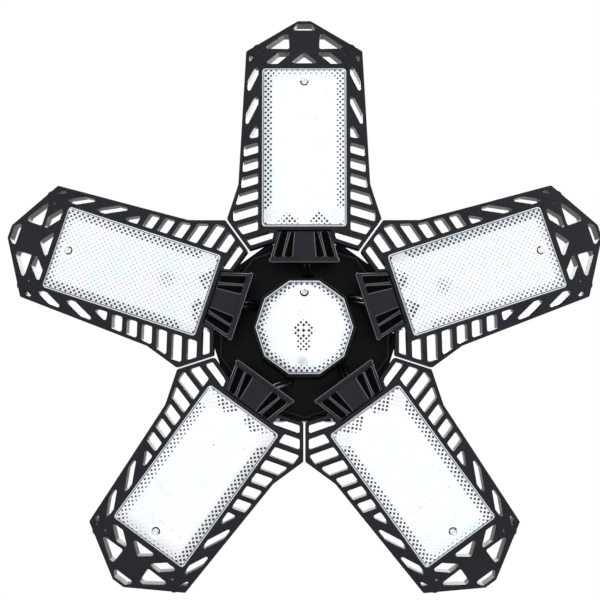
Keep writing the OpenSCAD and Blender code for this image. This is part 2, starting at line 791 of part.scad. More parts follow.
module hinge_nuts() {
    color("silver") at_each_panel() across_hinge() translate([0, 0, -lug_out - swing - bolt_head_h])
        difference() {
            cylinder(r = bolt_head_r * 1.1, h = bolt_head_h, $fn = 6);
            translate([0, 0, -1]) cylinder(r = bolt_bore, h = bolt_head_h + 2);
        }
}

module friction_washers() {
    color("dimgray") at_each_panel() across_hinge() for (side = [-1, 1])
        translate([0, 0, side * (knuckle_half + washer_t / 2)]) difference() {
            cylinder(r = lug_r - 0.4, h = washer_t, center = true);
            cylinder(r = bolt_bore, h = washer_t + 1, center = true);
        }
}

// ---- Panels ----

// Half of the outline where the panel runs beside its neighbour
function wedge_half(v) = (v * sin(half_sector) - panel_gap / 2) / cos(half_sector);

panel_half = [[tip_v, tip_half], [shoulder_v, shoulder_half], [kink_v, kink_half],
    [wide_v, wedge_half(wide_v)], [inner_v, wedge_half(inner_v)], [tongue_v, tongue_half]];

// The inner side of the outer rail
rail_half = concat(
    [inset_corner([tip_v, -tip_half], panel_half[0], panel_half[1], -rail_w)],
    [for (i = [1 : 4]) inset_corner(panel_half[i - 1], panel_half[i], panel_half[i + 1], -rail_w)]
);

function rail_u(v) = lookup(v, [for (p = rail_half) p]);

// The upper edge of side window i, at u
bar_v = lens_v - bars_reach + bar_count * bar_pitch;
function bar_at(i, u) = bar_v - i * bar_pitch - bar_slope * (u - rim_half);

// The point where that edge, moved down by drop, meets the outer rail, found in a few steps
function bar_end(i, drop, u = 32, tries = 6) =
    tries == 0 ? [bar_at(i, u) - drop, u] : bar_end(i, drop, rail_u(bar_at(i, u) - drop), tries - 1);

bar_window = bar_pitch - bar_w;
side_windows = [for (i = [0 : bar_count - 1]) [
    [bar_at(i, rim_half), rim_half], bar_end(i, 0), bar_end(i, bar_window),
    [bar_at(i, rim_half) - bar_window, rim_half]
]];

// The window beside the bracket, between the last bar and the panel's inner edge
beam = unit([tongue_v - inner_v, tongue_half - wedge_half(inner_v)]);
last_half = bracket_end_half + 1.6;
last_window = [
    bar_end(bar_count, 0), rail_half[4], rail_half[4] + beam * (rail_half[4].y - last_half - 0.9) / -beam.y,
    [bar_at(bar_count, last_half), last_half]
];

// Two truss windows and a triangle fill what the bars leave
truss_v = shoulder_v - truss_inset;
truss_foot = bar_at(0, rim_half) + bar_w;
truss_pitch = (truss_v - truss_foot) / 2.6;
truss_window = truss_pitch * truss_open;
function truss_at(j, u) = truss_v - j * truss_pitch - truss_slope * (u - rim_half);

function truss_end(j, drop, u = 30, tries = 10) =
    tries == 0 ? [truss_at(j, u) - drop, u]
        : truss_end(j, drop, (u + rail_u(truss_at(j, u) - drop)) / 2, tries - 1);

truss_windows = [for (j = [0, 1]) [
    [truss_at(j, rim_half), rim_half], truss_end(j, 0), truss_end(j, truss_window),
    [truss_at(j, rim_half) - truss_window, rim_half]
]];

// The triangle between the last diagonal and the first bar
truss_triangle = [
    [truss_at(2, rim_half), rim_half],
    [truss_foot - 0.7, rim_half + (truss_at(2, rim_half) - truss_foot + 0.7) / truss_slope],
    [truss_foot, rim_half]
];

// The star in the tip: a solid block with windows round it
cross_v = block_v - 9.2;
boss_u = shoulder_half - 5.8;
boss_v = shoulder_v + 1;
slot_window = both_sides([[tip_v - 1.3, tip_half + 0.2], [block_v + 0.1, block_half - 1.3]]);
upper_window = [[block_v - 1.8, block_half + 0.2], [block_v - 1.8, block_half + 2.5],
    [cross_v + 0.2, boss_u - boss_r], [cross_v, block_half]];
slant_window = [[cross_v - cross_w, 5.8], [cross_v - cross_w, 12.6], [rim_end + 0.3, boss_u - 3.2],
    [rim_end + 0.3, 13.1]];
centre_window = [[rim_end + 0.6, -block_half], [cross_v - cross_w - 0.1, 0], [rim_end + 0.6, block_half]];
notch_window = [[cross_v - cross_w, boss_u - 4.5], [cross_v - cross_w, boss_u - 2.2],
    [cross_v - cross_w - 2.2, boss_u - 2.2]];
corner_window = [[shoulder_v - 0.1, shoulder_half - 4.4], [shoulder_v - 2.9, shoulder_half - 1.4],
    [shoulder_v - 5.8, shoulder_half - 1.8], [shoulder_v - 2.6, shoulder_half - 3.6]];

module lattice() {
    difference() {
        polygon(rounded(both_sides(panel_half), 1));
        for (window = concat(side_windows, [last_window], truss_windows,
            [truss_triangle, upper_window, slant_window, notch_window, corner_window])) {
            polygon(rounded(window, corner_r));
            polygon(rounded(other_side(window), corner_r));
        }
        polygon(rounded(slot_window, corner_r));
        polygon(rounded(centre_window, corner_r));
    }
}

// The outline of the bracket, grown by gap
function bracket_outline(gap) = both_sides([
    [bracket_v - gap, bracket_half + gap], [bracket_end + gap, bracket_end_half + gap]
]);

// The outline of the lens, drawn in by inset
function lens_outline(inset) =
    rounded(box_outline(lens_v + inset, lens_end - inset, lens_half - inset), lens_corner_r);

module panel_frame(k) {
    pocket = lens_outline(-lens_fit);
    well = box_outline(lens_v + ledge_w, lens_end - ledge_w, lens_half - ledge_w);
    rib_pitch = (2 * lens_half - 4) / (rib_count - 1);
    color("#1a1b1f") at_panel(k) difference() {
        union() {
            difference() {
                translate([0, 0, face_z]) linear_extrude(panel_t) lattice();
                slab(pocket, -1, ledge_z);
                slab(well, 0, floor_w);
                slab(well, floor_back, panel_t + 1);
            }
            for (side = [-1, 1]) translate([boss_v, side * boss_u, 0]) drill(boss_r, face_z, back_z);
            for (i = [0 : rib_count - 1]) {
                rib_u = i * rib_pitch - lens_half + 2;
                translate([lens_v + 7.5, rib_u - rib_t / 2, face_z + floor_back - 0.2])
                    cube([lens_l - 11, rib_t, panel_t - floor_back + 0.2]);
            }
        }
        slab(bracket_outline(inner_end_gap), -1, tongue_w);
        for (side = [-1, 1]) {
            translate([0, side * lug_mid, 0])
                slab(box_outline(tongue_v - 3, bracket_end + seat, lug_t / 2 + swing), 0, panel_t + 1);
            translate([bracket_screw_v, side * bracket_screw_u, 0])
                drill(screw_r + screw_gap, face_z, back_z + 1);
        }
        slab(box_outline(rim_v + 0.6, lens_v, 3), lens_w0 + 0.6, ledge_z);
        translate([lens_screw_v, 0, 0]) drill(tap_r, face_z + floor_w - 1, back_z + 1);
        translate([lead_hole_v, 0, 0]) drill(bore_r, face_z + floor_w - 1, back_z + 1);
    }
}

module led_board(k) {
    w0 = floor_w - board_t;
    inset = ledge_w + swing;
    color("white") at_panel(k) difference() {
        union() {
            slab(box_outline(lens_v + inset, lens_end - inset, lens_half - inset), w0, floor_w);
            for (row = [0 : row_count - 1], column = [-2 : 2])
                translate([lens_screw_v - first_row_gap - row * row_pitch - chip_size / 2,
                    column * chip_pitch - chip_size / 2, face_z + w0 - chip_h])
                    cube([chip_size, chip_size, chip_h + 0.2]);
        }
        translate([lens_screw_v, 0, 0]) drill(screw_r + screw_gap, face_z, back_z);
    }
}

module panel_lens(k) {
    color("white") at_panel(k) difference() {
        union() {
            slab(lens_outline(0), lens_w0 + 0.4, ledge_z);
            slab(lens_outline(0.5), lens_w0, ledge_z);
            slab(box_outline(rim_v + 0.8, lens_v + 1, 2.8), lens_w0 + 0.8, ledge_z);
            translate([lens_screw_v, 0, 0])
                drill(post_r, face_z + lens_w0 + 0.4, face_z + floor_w - board_t - seat);
        }
        translate([lens_screw_v, 0, 0]) {
            drill(screw_r + screw_gap, face_z - 1, back_z);
            drill(head_r + head_gap, face_z - 1, face_z + lens_w0 + 1);
        }
    }
}

module lens_screw(k) {
    color("silver") at_panel(k) translate([lens_screw_v, 0, face_z + lens_w0 + 1])
        small_screw(lens_screw_l);
}

// The two slanting pockets on a side of the bracket's plate. Each lies between an inner and an
// outer line, given as their distances from the middle at the pocket's outer end and at the lip
pocket_u = bracket_screw_u + tap_r + 0.3;
bracket_pockets = [
    [[bracket_end_half - 5, bracket_half - 6.2], [bracket_end_half - 1.5, bracket_half - 2.1]],
    [[pocket_u, pocket_u + 1], [bracket_end_half - 6.5, bracket_half - 7.2]]
];

function bracket_pocket(inner, outer) = [
    [bracket_end - 0.5, inner[0]], [bracket_end - 0.5, outer[0]],
    [bracket_v + lip_w + 0.8, outer[1]], [bracket_v + lip_w + 0.8, inner[1]]
];

module hinge_bracket(k) {
    heel = pivot_drop - 0.4;
    lug = concat(
        [[bracket_v + 3, face_z + plate_back - 0.5], [bracket_end - 0.2, face_z + plate_back - 0.5],
            [bracket_end - 0.2, back_z + 1]],
        [for (i = [-2 : 6]) [pivot_r + lug_r * cos(i * 15), pivot_z + lug_r * sin(i * 15)]],
        [[pivot_r - 1, pivot_z + heel], [pivot_r - lug_r, pivot_z + heel],
            [pivot_r - lug_r, back_z + 4], [bracket_v + 3, back_z - 1]]
    );
    color("#1a1b1f") at_panel(k) difference() {
        union() {
            slab(rounded(bracket_outline(0), 1), plate_front, plate_back);
            slab(rounded(box_outline(bracket_v, bracket_v + lip_w, bracket_half + 0.1), 1),
                plate_front - lip_h, panel_t - 1.5);
            difference() {
                slab(bracket_outline(0), plate_back - 0.5, panel_t - 1.5);
                slab(box_outline(bracket_v + lip_w, bracket_end + 1, bracket_half - 4.6),
                    plate_back - 1, panel_t);
                slab(box_outline(tongue_v - 0.4, bracket_end + 1, bracket_half + 1), plate_back, panel_t);
            }
            for (side = [-1, 1]) web(lug, side * lug_mid, lug_t);
        }
        for (side = [-1, 1], pocket = bracket_pockets) {
            outline = rounded(bracket_pocket(pocket[0], pocket[1]), 0.6);
            slab(side > 0 ? outline : other_side(outline), -1, plate_front + pocket_depth);
        }
        across_hinge() cylinder(r = bolt_bore, h = 3 * lug_out, center = true);
        for (side = [-1, 1]) translate([bracket_screw_v, side * bracket_screw_u, 0])
            drill(tap_r, face_z + plate_front + 0.8, back_z);
    }
}

module bracket_screws(k) {
    color("silver") at_panel(k) for (side = [-1, 1])
        translate([bracket_screw_v, side * bracket_screw_u, back_z]) rotate([180, 0, 0])
            small_screw(bracket_screw_l);
}

module panel_lead(k) {
    turn = lead_turns[k - 1];
    out = [lead_exit_r * cos(turn), lead_exit_r * sin(turn), 0];
    color("#101012") at_panel(k) twin_lead([
        out + [0, 0, driver_z - seat],
        out + [0, 0, plate_z - 1],
        out + [1.5, -out.y * 0.2, plate_z - 6],
        [bracket_v + lip_w + 1.5, out.y * 0.35, pivot_z - 7.5],
        [pivot_r, 0, pivot_z - 9.3],
        [lead_hole_v - 6, 0, back_z + 2.6],
        [lead_hole_v - 1.2, 0, back_z + 1],
        [lead_hole_v, 0, back_z - 1.5],
        [lead_hole_v, 0, face_z + floor_w + seat]
    ]);
}

module centre_lead() {
    color("#101012") twin_lead([
        [0, centre_lead_v, driver_z - seat], [0, centre_lead_v, plate_z],
        [0, centre_lead_v + 0.6, (plate_z + tray_z) / 2], [0, centre_lead_v, tray_floor_z + 3.6],
        [0, centre_lead_v, tray_floor_z + seat]
    ]);
}

screw_shell();
cap_insulator();
eyelet_contact();
neck_cover();
driver_housing();
hub_base();
hub_screws();
driver_board();
transformer();
input_capacitor();
live_lead();
neutral_lead();
centre_lead();
centre_tray();
tray_screws();
centre_led_board();
centre_lens();
centre_lens_screw();
hinge_bolts();
hinge_nuts();
friction_washers();
for (k = [1 : panel_count]) {
    panel_frame(k);
    led_board(k);
    panel_lens(k);
    lens_screw(k);
    hinge_bracket(k);
    bracket_screws(k);
    panel_lead(k);
}
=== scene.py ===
import math
import random
import bpy
from mathutils import Matrix, Vector


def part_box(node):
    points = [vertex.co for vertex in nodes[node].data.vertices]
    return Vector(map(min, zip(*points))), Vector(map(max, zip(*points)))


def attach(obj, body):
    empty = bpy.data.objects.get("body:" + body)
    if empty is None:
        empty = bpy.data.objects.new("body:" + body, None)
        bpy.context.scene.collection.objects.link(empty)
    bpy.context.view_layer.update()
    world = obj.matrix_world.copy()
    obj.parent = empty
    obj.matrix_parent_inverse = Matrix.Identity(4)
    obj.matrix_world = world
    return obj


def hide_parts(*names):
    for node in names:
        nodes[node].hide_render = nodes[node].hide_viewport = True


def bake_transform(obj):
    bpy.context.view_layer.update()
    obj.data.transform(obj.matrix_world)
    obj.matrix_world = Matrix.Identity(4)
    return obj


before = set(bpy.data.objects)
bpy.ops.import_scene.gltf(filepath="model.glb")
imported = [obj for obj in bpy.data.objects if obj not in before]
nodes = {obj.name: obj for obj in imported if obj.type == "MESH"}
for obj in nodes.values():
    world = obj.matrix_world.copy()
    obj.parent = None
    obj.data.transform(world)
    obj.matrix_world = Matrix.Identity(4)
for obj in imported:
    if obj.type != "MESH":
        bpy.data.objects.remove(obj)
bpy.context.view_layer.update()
mm = 0.001
panelNumbers = range(1, 6)
panelTurn = math.radians(72)  # from one panel to the next, panel 1 points along -Y
print("frame loaded,", len(nodes), "nodes")


# ---- Small helpers ----

def selectOnly(*pieces):
    bpy.ops.object.select_all(action="DESELECT")
    for piece in pieces:
        piece.select_set(True)
    bpy.context.view_layer.objects.active = pieces[0]


def editAll(piece):
    selectOnly(piece)
    bpy.ops.object.mode_set(mode="EDIT")
    bpy.ops.mesh.select_all(action="SELECT")


def leaveEdit():
    bpy.ops.object.mode_set(mode="OBJECT")


def placeInMesh(piece):
    selectOnly(piece)
    bpy.ops.object.transform_apply(location=True, rotation=True, scale=True)


def applyModifier(piece, modifier):
    selectOnly(piece)
    bpy.ops.object.modifier_apply(modifier=modifier.name)


def smoothUnder(piece, degrees):
    selectOnly(piece)
    bpy.ops.object.shade_smooth_by_angle(angle=math.radians(degrees))


def setMaterial(piece, material):
    piece.data.materials.clear()
    piece.data.materials.append(material)


def nodeMiddle(node):
    low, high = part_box(node)
    return (low + high) / 2


def smoothStep(low, high, value):
    share = min(max((value - low) / (high - low), 0), 1)
    return share * share * (3 - 2 * share)


def fade(ends, distance):
    # 0 at the first end, 1 at the second, with both ends in mm
    return smoothStep(ends[0] * mm, ends[1] * mm, distance)


def turnedCopy(piece, panel, name):
    copy = piece.copy()
    copy.data = piece.data.copy()
    copy.name = name
    bpy.context.collection.objects.link(copy)
    copy.rotation_euler.z = panelTurn * (panel - 1)
    placeInMesh(copy)
    return copy


merging = {"weld": 0.004 * mm, "flatUnder": 0.8}  # the second in degrees


def copyOfNode(node, name):
    piece = bpy.data.objects.new(name, nodes[node].data.copy())
    bpy.context.collection.objects.link(piece)
    piece.data.materials.clear()
    editAll(piece)
    bpy.ops.mesh.remove_doubles(threshold=merging["weld"])
    bpy.ops.mesh.dissolve_limited(angle_limit=math.radians(merging["flatUnder"]))
    leaveEdit()
    return piece


softening = {"sharperThan": 50, "segments": 2, "smoothUnder": 32, "flatWeight": 100}  # angles in degrees


def softenEdges(piece, radius, edgeSlot=-1, sharpAbove=math.inf):
    editAll(piece)
    bpy.ops.mesh.select_all(action="DESELECT")
    bpy.ops.mesh.select_mode(type="EDGE")
    bpy.ops.mesh.edges_select_sharp(sharpness=math.radians(softening["sharperThan"]))
    leaveEdit()
    mesh = piece.data
    weights = mesh.attributes.new("bevel_weight_edge", "FLOAT", "EDGE")
    for edge in mesh.edges:
        below = all(mesh.vertices[index].co.z < sharpAbove for index in edge.vertices)
        weights.data[edge.index].value = 1 if edge.select and below else 0
    lowest = min(vertex.co.z for vertex in mesh.vertices)
    bevel = piece.modifiers.new("softEdges", "BEVEL")
    bevel.width = radius
    bevel.segments = softening["segments"]
    bevel.material = edgeSlot
    bevel.limit_method = "WEIGHT"
    bevel.use_clamp_overlap = False
    bevel.miter_outer = "MITER_ARC"
    applyModifier(piece, bevel)
    for vertex in piece.data.vertices:  # a mitre at an acute corner may reach past the face
        vertex.co.z = max(vertex.co.z, lowest)
    smoothUnder(piece, softening["smoothUnder"])
    normals = piece.modifiers.new("flatNormals", "WEIGHTED_NORMAL")  # flats stay flat up to their edges
    normals.keep_sharp = True
    normals.weight = softening["flatWeight"]
    applyModifier(piece, normals)


# ---- Materials ----

def newMaterial(name):
    material = bpy.data.materials.new(name)
    material.use_nodes = True
    tree = material.node_tree
    return material, tree, tree.nodes["Principled BSDF"]


def addNode(tree, kind, **values):
    node = tree.nodes.new(kind)
    for name, value in values.items():
        setattr(node, name, value)
    return node


def objectNoise(tree, scale, detail=3, roughness=0.5, stretch=(1, 1, 1)):
    place = addNode(tree, "ShaderNodeTexCoord")
    mapping = addNode(tree, "ShaderNodeMapping")
    mapping.inputs["Scale"].default_value = stretch
    noise = addNode(tree, "ShaderNodeTexNoise")
    noise.inputs["Scale"].default_value = scale
    noise.inputs["Detail"].default_value = detail
    noise.inputs["Roughness"].default_value = roughness
    tree.links.new(place.outputs["Object"], mapping.inputs["Vector"])
    tree.links.new(mapping.outputs["Vector"], noise.inputs["Vector"])
    return noise.outputs["Fac"]


def ramp(tree, source, lowColour, highColour, ends=(0.3, 0.7)):
    node = addNode(tree, "ShaderNodeValToRGB")
    for element, place, colour in zip(node.color_ramp.elements, ends, (lowColour, highColour)):
        element.position = place
        element.color = (*colour, 1)
    tree.links.new(source, node.inputs["Fac"])
    return node.outputs["Color"]


def rangeOf(tree, source, toRange, fromRange=(0, 1)):
    node = addNode(tree, "ShaderNodeMapRange")
    for name, (low, high) in (("From", fromRange), ("To", toRange)):
        node.inputs[name + " Min"].default_value = low
        node.inputs[name + " Max"].default_value = high
    tree.links.new(source, node.inputs["Value"])
    return node.outputs["Result"]


def mixColours(tree, share, first, second):
    mix = addNode(tree, "ShaderNodeMix", data_type="RGBA")
    for name, value in (("Factor", share), ("A", first), ("B", second)):
        socket = [each for each in mix.inputs if each.name == name and each.enabled][0]
        if isinstance(value, tuple):
            socket.default_value = (*value, 1)
        else:
            tree.links.new(value, socket)
    return [each for each in mix.outputs if each.enabled][0]


def bumpFrom(tree, shader, source, strength, distance):
    bump = addNode(tree, "ShaderNodeBump")
    bump.inputs["Strength"].default_value = strength
    bump.inputs["Distance"].default_value = distance
    tree.links.new(source, bump.inputs["Height"])
    tree.links.new(bump.outputs["Normal"], shader.inputs["Normal"])


def scaled(colour, share):
    return tuple(part * share for part in colour)


blackCoat = {"dark": 0.0088, "light": 0.0125, "tint": (0.9, 0.97, 1.4), "specular": 0.17,
             "rough": (0.3, 0.42), "grain": 2600}
hubPlastic = {"dark": 0.003, "light": 0.0052, "tint": (0.75, 1.0, 1.35), "specular": 0.13,
              "rough": (0.28, 0.4), "grain": 1800}
plateFinish = {"dark": 0.012, "light": 0.016, "tint": (0.85, 0.95, 1.4), "specular": 0.16,
               "rough": (0.3, 0.42), "grain": 2600}
# painted shade: near black for bracket pocket walls and floors and for the gaps beside lens screw heads
pocketShadeLook = {"dark": 0.001, "light": 0.0016, "tint": (0.9, 1.0, 1.2), "specular": 0.03,
                "rough": (0.4, 0.5), "grain": 2600}
# painted highlight: a lighter, shinier black for bracket edges that face the lamps
paintedEdgeHighlight = {"dark": 0.08, "light": 0.13, "tint": (0.97, 1.0, 1.08), "specular": 0.8,
              "rough": (0.28, 0.36), "grain": 2600}
mouldedSkin = {"mottle": 60, "detail": 4, "grainDetail": 2, "bump": 0.25, "bumpDepth": 0.02 * mm}


def moulded(name, look):
    material, tree, shader = newMaterial(name)
    mottle = objectNoise(tree, mouldedSkin["mottle"], mouldedSkin["detail"])
    colour = ramp(tree, mottle, scaled(look["tint"], look["dark"]), scaled(look["tint"], look["light"]))
    tree.links.new(colour, shader.inputs["Base Color"])
    tree.links.new(rangeOf(tree, mottle, look["rough"]), shader.inputs["Roughness"])
    shader.inputs["Specular IOR Level"].default_value = look["specular"]
    grain = objectNoise(tree, look["grain"], mouldedSkin["grainDetail"])
    bumpFrom(tree, shader, grain, mouldedSkin["bump"], mouldedSkin["bumpDepth"])
    return material


metalSkin = {"contrast": 0.85, "ends": (0.25, 0.75), "detail": 5, "roughness": 0.6, "roughRange": (0.8, 1.25),
             "bump": 0.12, "bumpDepth": 0.02 * mm}


def metal(name, colour, rough, streakScale, streak=(1, 1, 1)):
    material, tree, shader = newMaterial(name)
    streaks = objectNoise(tree, streakScale, metalSkin["detail"], metalSkin["roughness"], streak)
    tone = ramp(tree, streaks, scaled(colour, metalSkin["contrast"]), colour, metalSkin["ends"])
    tree.links.new(tone, shader.inputs["Base Color"])
    shine = rangeOf(tree, streaks, scaled(metalSkin["roughRange"], rough))
    tree.links.new(shine, shader.inputs["Roughness"])
    shader.inputs["Metallic"].default_value = 1
    bumpFrom(tree, shader, streaks, metalSkin["bump"], metalSkin["bumpDepth"])
    return material


sleeveSkin = {"mottle": 900, "contrast": 0.85, "roughness": 0.16, "ior": 2.3, "bump": 0.05,
              "bumpDepth": 0.02 * mm}


def wireSleeve(name, colour):
    material, tree, shader = newMaterial(name)
    mottle = objectNoise(tree, sleeveSkin["mottle"])
    tone = ramp(tree, mottle, scaled(colour, sleeveSkin["contrast"]), colour)
    tree.links.new(tone, shader.inputs["Base Color"])
    shader.inputs["Roughness"].default_value = sleeveSkin["roughness"]
    shader.inputs["IOR"].default_value = sleeveSkin["ior"]
    bumpFrom(tree, shader, mottle, sleeveSkin["bump"], sleeveSkin["bumpDepth"])
    return material


glaze = {"dark": (0.66, 0.65, 0.61), "light": (0.74, 0.73, 0.7), "clouds": 220, "detail": 4,
         "roughness": 0.22, "bump": 0.1, "bumpDepth": 0.03 * mm}


def porcelain(name):
    material, tree, shader = newMaterial(name)
    clouds = objectNoise(tree, glaze["clouds"], glaze["detail"])
    tree.links.new(ramp(tree, clouds, glaze["dark"], glaze["light"]), shader.inputs["Base Color"])
    shader.inputs["Roughness"].default_value = glaze["roughness"]
    bumpFrom(tree, shader, clouds, glaze["bump"], glaze["bumpDepth"])
    return material


circuit = {"tracks": 160, "roughness": 0.3, "bump": 0.3, "bumpDepth": 0.05 * mm,
           "colours": {"Color1": (0.02, 0.13, 0.05, 1), "Color2": (0.03, 0.17, 0.07, 1),
                       "Mortar": (0.05, 0.24, 0.1, 1)}}


def boardGreen(name):
    material, tree, shader = newMaterial(name)
    place = addNode(tree, "ShaderNodeTexCoord")
    tracks = addNode(tree, "ShaderNodeTexBrick")
    tracks.inputs["Scale"].default_value = circuit["tracks"]
    for part, colour in circuit["colours"].items():
        tracks.inputs[part].default_value = colour
    tree.links.new(place.outputs["Object"], tracks.inputs["Vector"])
    tree.links.new(tracks.outputs["Color"], shader.inputs["Base Color"])
    shader.inputs["Roughness"].default_value = circuit["roughness"]
    bumpFrom(tree, shader, tracks.outputs["Fac"], circuit["bump"], circuit["bumpDepth"])
    return material


# the wave's low bands are painted shade in the grooves between turns
winding = {"turns": 400, "wobble": 0.6, "groove": (0.3, 0.18, 0.03), "copper": (0.72, 0.5, 0.12),
           "ends": (0.1, 0.8), "roughness": 0.4, "bump": 0.5, "bumpDepth": 0.1 * mm}


def woundCopper(name):
    material, tree, shader = newMaterial(name)
    place = addNode(tree, "ShaderNodeTexCoord")
    turns = addNode(tree, "ShaderNodeTexWave", bands_direction="Z")
    turns.inputs["Scale"].default_value = winding["turns"]
    turns.inputs["Distortion"].default_value = winding["wobble"]
    tree.links.new(place.outputs["Object"], turns.inputs["Vector"])
    tone = ramp(tree, turns.outputs["Fac"], winding["groove"], winding["copper"], winding["ends"])
    tree.links.new(tone, shader.inputs["Base Color"])
    shader.inputs["Roughness"].default_value = winding["roughness"]
    bumpFrom(tree, shader, turns.outputs["Fac"], winding["bump"], winding["bumpDepth"])
    return material


chipBoard = {"mask": (0.82, 0.82, 0.8), "chip": (0.85, 0.72, 0.2), "ends": (0.4, 0.6), "roughness": 0.45,
             "dust": 700, "bump": 0.1, "bumpDepth": 0.02 * mm, "chipDepth": 0.68 * mm}


def whiteBoard(name, node):
    # the chips stand below the board's own face, so height tells them apart
    material, tree, shader = newMaterial(name)
    place = addNode(tree, "ShaderNodeTexCoord")
    split = addNode(tree, "ShaderNodeSeparateXYZ")
    tree.links.new(place.outputs["Object"], split.inputs["Vector"])
    chips = addNode(tree, "ShaderNodeMath", operation="LESS_THAN")
    chips.inputs[1].default_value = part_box(node)[0].z + chipBoard["chipDepth"]
    tree.links.new(split.outputs["Z"], chips.inputs[0])
    tone = ramp(tree, chips.outputs["Value"], chipBoard["mask"], chipBoard["chip"], chipBoard["ends"])
    tree.links.new(tone, shader.inputs["Base Color"])
    shader.inputs["Roughness"].default_value = chipBoard["roughness"]
    bumpFrom(tree, shader, objectNoise(tree, chipBoard["dust"]), chipBoard["bump"], chipBoard["bumpDepth"])
    return material


lensLook = {"cool": (0.76, 0.82, 0.84), "warm": (0.83, 0.81, 0.82), "clouds": 90, "cloudEnds": (0.35, 0.65),
            "shade": (0.22, 0.3, 0.36), "dot": (0.02, 0.024, 0.036), "dotEdge": (0.4, 0.47), "glow": 0.12,
            "rough": 0.16, "ripple": 500, "detail": 2, "bump": 0.08, "bumpDepth": 0.05 * mm}


def prismLens(name):
    # the sheets' "shade" and "dot" attributes say where the lens is darker
    material, tree, shader = newMaterial(name)
    clouds = objectNoise(tree, lensLook["clouds"], lensLook["detail"])
    white = ramp(tree, clouds, lensLook["cool"], lensLook["warm"], lensLook["cloudEnds"])
    shade = addNode(tree, "ShaderNodeAttribute", attribute_name="shade")
    toned = mixColours(tree, shade.outputs["Fac"], white, lensLook["shade"])
    dots = addNode(tree, "ShaderNodeAttribute", attribute_name="dot")
    inDot = rangeOf(tree, dots.outputs["Fac"], (0, 1), lensLook["dotEdge"])
    tone = mixColours(tree, inDot, toned, lensLook["dot"])
    tree.links.new(tone, shader.inputs["Base Color"])
    tree.links.new(tone, shader.inputs["Emission Color"])
    shader.inputs["Emission Strength"].default_value = lensLook["glow"]
    shader.inputs["Roughness"].default_value = lensLook["rough"]
    ripple = objectNoise(tree, lensLook["ripple"], lensLook["detail"])
    bumpFrom(tree, shader, ripple, lensLook["bump"], lensLook["bumpDepth"])
    return material


rimLook = {"dark": (0.05, 0.055, 0.075), "light": (0.12, 0.13, 0.16), "depth": 400, "detail": 2,
           "roughness": 0.2}


def lensShade(name):
    material, tree, shader = newMaterial(name)
    depth = objectNoise(tree, rimLook["depth"], rimLook["detail"])
    tree.links.new(ramp(tree, depth, rimLook["dark"], rimLook["light"]), shader.inputs["Base Color"])
    shader.inputs["Roughness"].default_value = rimLook["roughness"]
    return material


coatBlack = moulded("blackCoat", blackCoat)
coatPlate = moulded("blackPlate", plateFinish)
coatPaintedShade = moulded("pocketPaintedShade", pocketShadeLook)
coatEdgeHighlight = moulded("paintedEdgeHighlight", paintedEdgeHighlight)
plasticBlack = moulded("hubPlastic", hubPlastic)
capNickel = metal("capNickel", (0.8, 0.78, 0.73), 0.2, 160, (1, 1, 12))
steelBright = metal("steelBright", (0.78, 0.78, 0.79), 0.26, 900)
# painted highlight: a near-white copy of the bright steel, for the lens screws' heads
steelPaintedHighlight = metal("steelPaintedHighlight", (0.93, 0.94, 0.95), 0.3, 900)
steelDark = metal("steelDark", (0.1, 0.1, 0.105), 0.36, 700)
insulatorWhite = porcelain("insulatorGlaze")
wireBlack = wireSleeve("wireBlack", (0.014, 0.014, 0.016))
wireRed = wireSleeve("wireRed", (0.42, 0.03, 0.025))
wireWhite = wireSleeve("wireWhite", (0.78, 0.78, 0.76))
sleeveBlue = wireSleeve("capacitorSleeve", (0.03, 0.045, 0.17))
lensClear = prismLens("prismLens")
lensDark = lensShade("lensShade")
print("materials made")


# ---- Screw cap ----

capShape = {"sides": 72, "rows": 9, "pitch": 3.63 * mm, "depth": 0.9 * mm, "wall": 0.6 * mm,
            "skirt": 4.5 * mm, "bead": 0.5 * mm, "beadEnd": 0.9 * mm, "waist": 0.25 * mm,
            "waistEnd": 3.9 * mm, "curl": 1.6 * mm, "fadeIn": 1.8 * mm, "fadeOut": 1.5 * mm,
            "slack": 0.1 * mm, "smooth": 50}
capMouth = [(0.1, 1.12), (0.6, 0.48), (1.5, 0.05), (2.2, 0), (2.4, 0.6)]  # mm in from the root, below the top


def ringStack(name, profile, sides):
    # a round shell drawn up ring by ring from (radius, height)
    radius, height = profile[0]
    bpy.ops.object.select_all(action="DESELECT")
    bpy.ops.mesh.primitive_circle_add(vertices=sides, radius=radius, location=(0, 0, height))
    piece = bpy.context.object
    piece.name = name
    placeInMesh(piece)
    editAll(piece)
    for nextRadius, nextHeight in profile[1:]:
        bpy.ops.mesh.extrude_region_move(TRANSFORM_OT_translate={"value": (0, 0, nextHeight - height)})
        share = nextRadius / radius
        bpy.ops.transform.resize(value=(share, share, 1), center_override=(0, 0, nextHeight))
        radius, height = nextRadius, nextHeight
    leaveEdit()
    return piece


def rollThread(shell, root, threadTop):
    # the thread is a wave that climbs once a turn and runs out at both ends
    for vertex in shell.data.vertices:
        place = vertex.co
        if capShape["skirt"] - capShape["slack"] < place.z < threadTop + capShape["slack"]:
            turn = math.atan2(place.y, place.x) / math.tau
            wave = 0.5 - 0.5 * math.cos(math.tau * (place.z / capShape["pitch"] - turn))
            runOut = smoothStep(0, capShape["fadeIn"], place.z - capShape["skirt"]) * \
                smoothStep(0, capShape["fadeOut"], threadTop - place.z)
            grow = 1 + capShape["depth"] * wave * runOut / root
            place.x, place.y = place.x * grow, place.y * grow


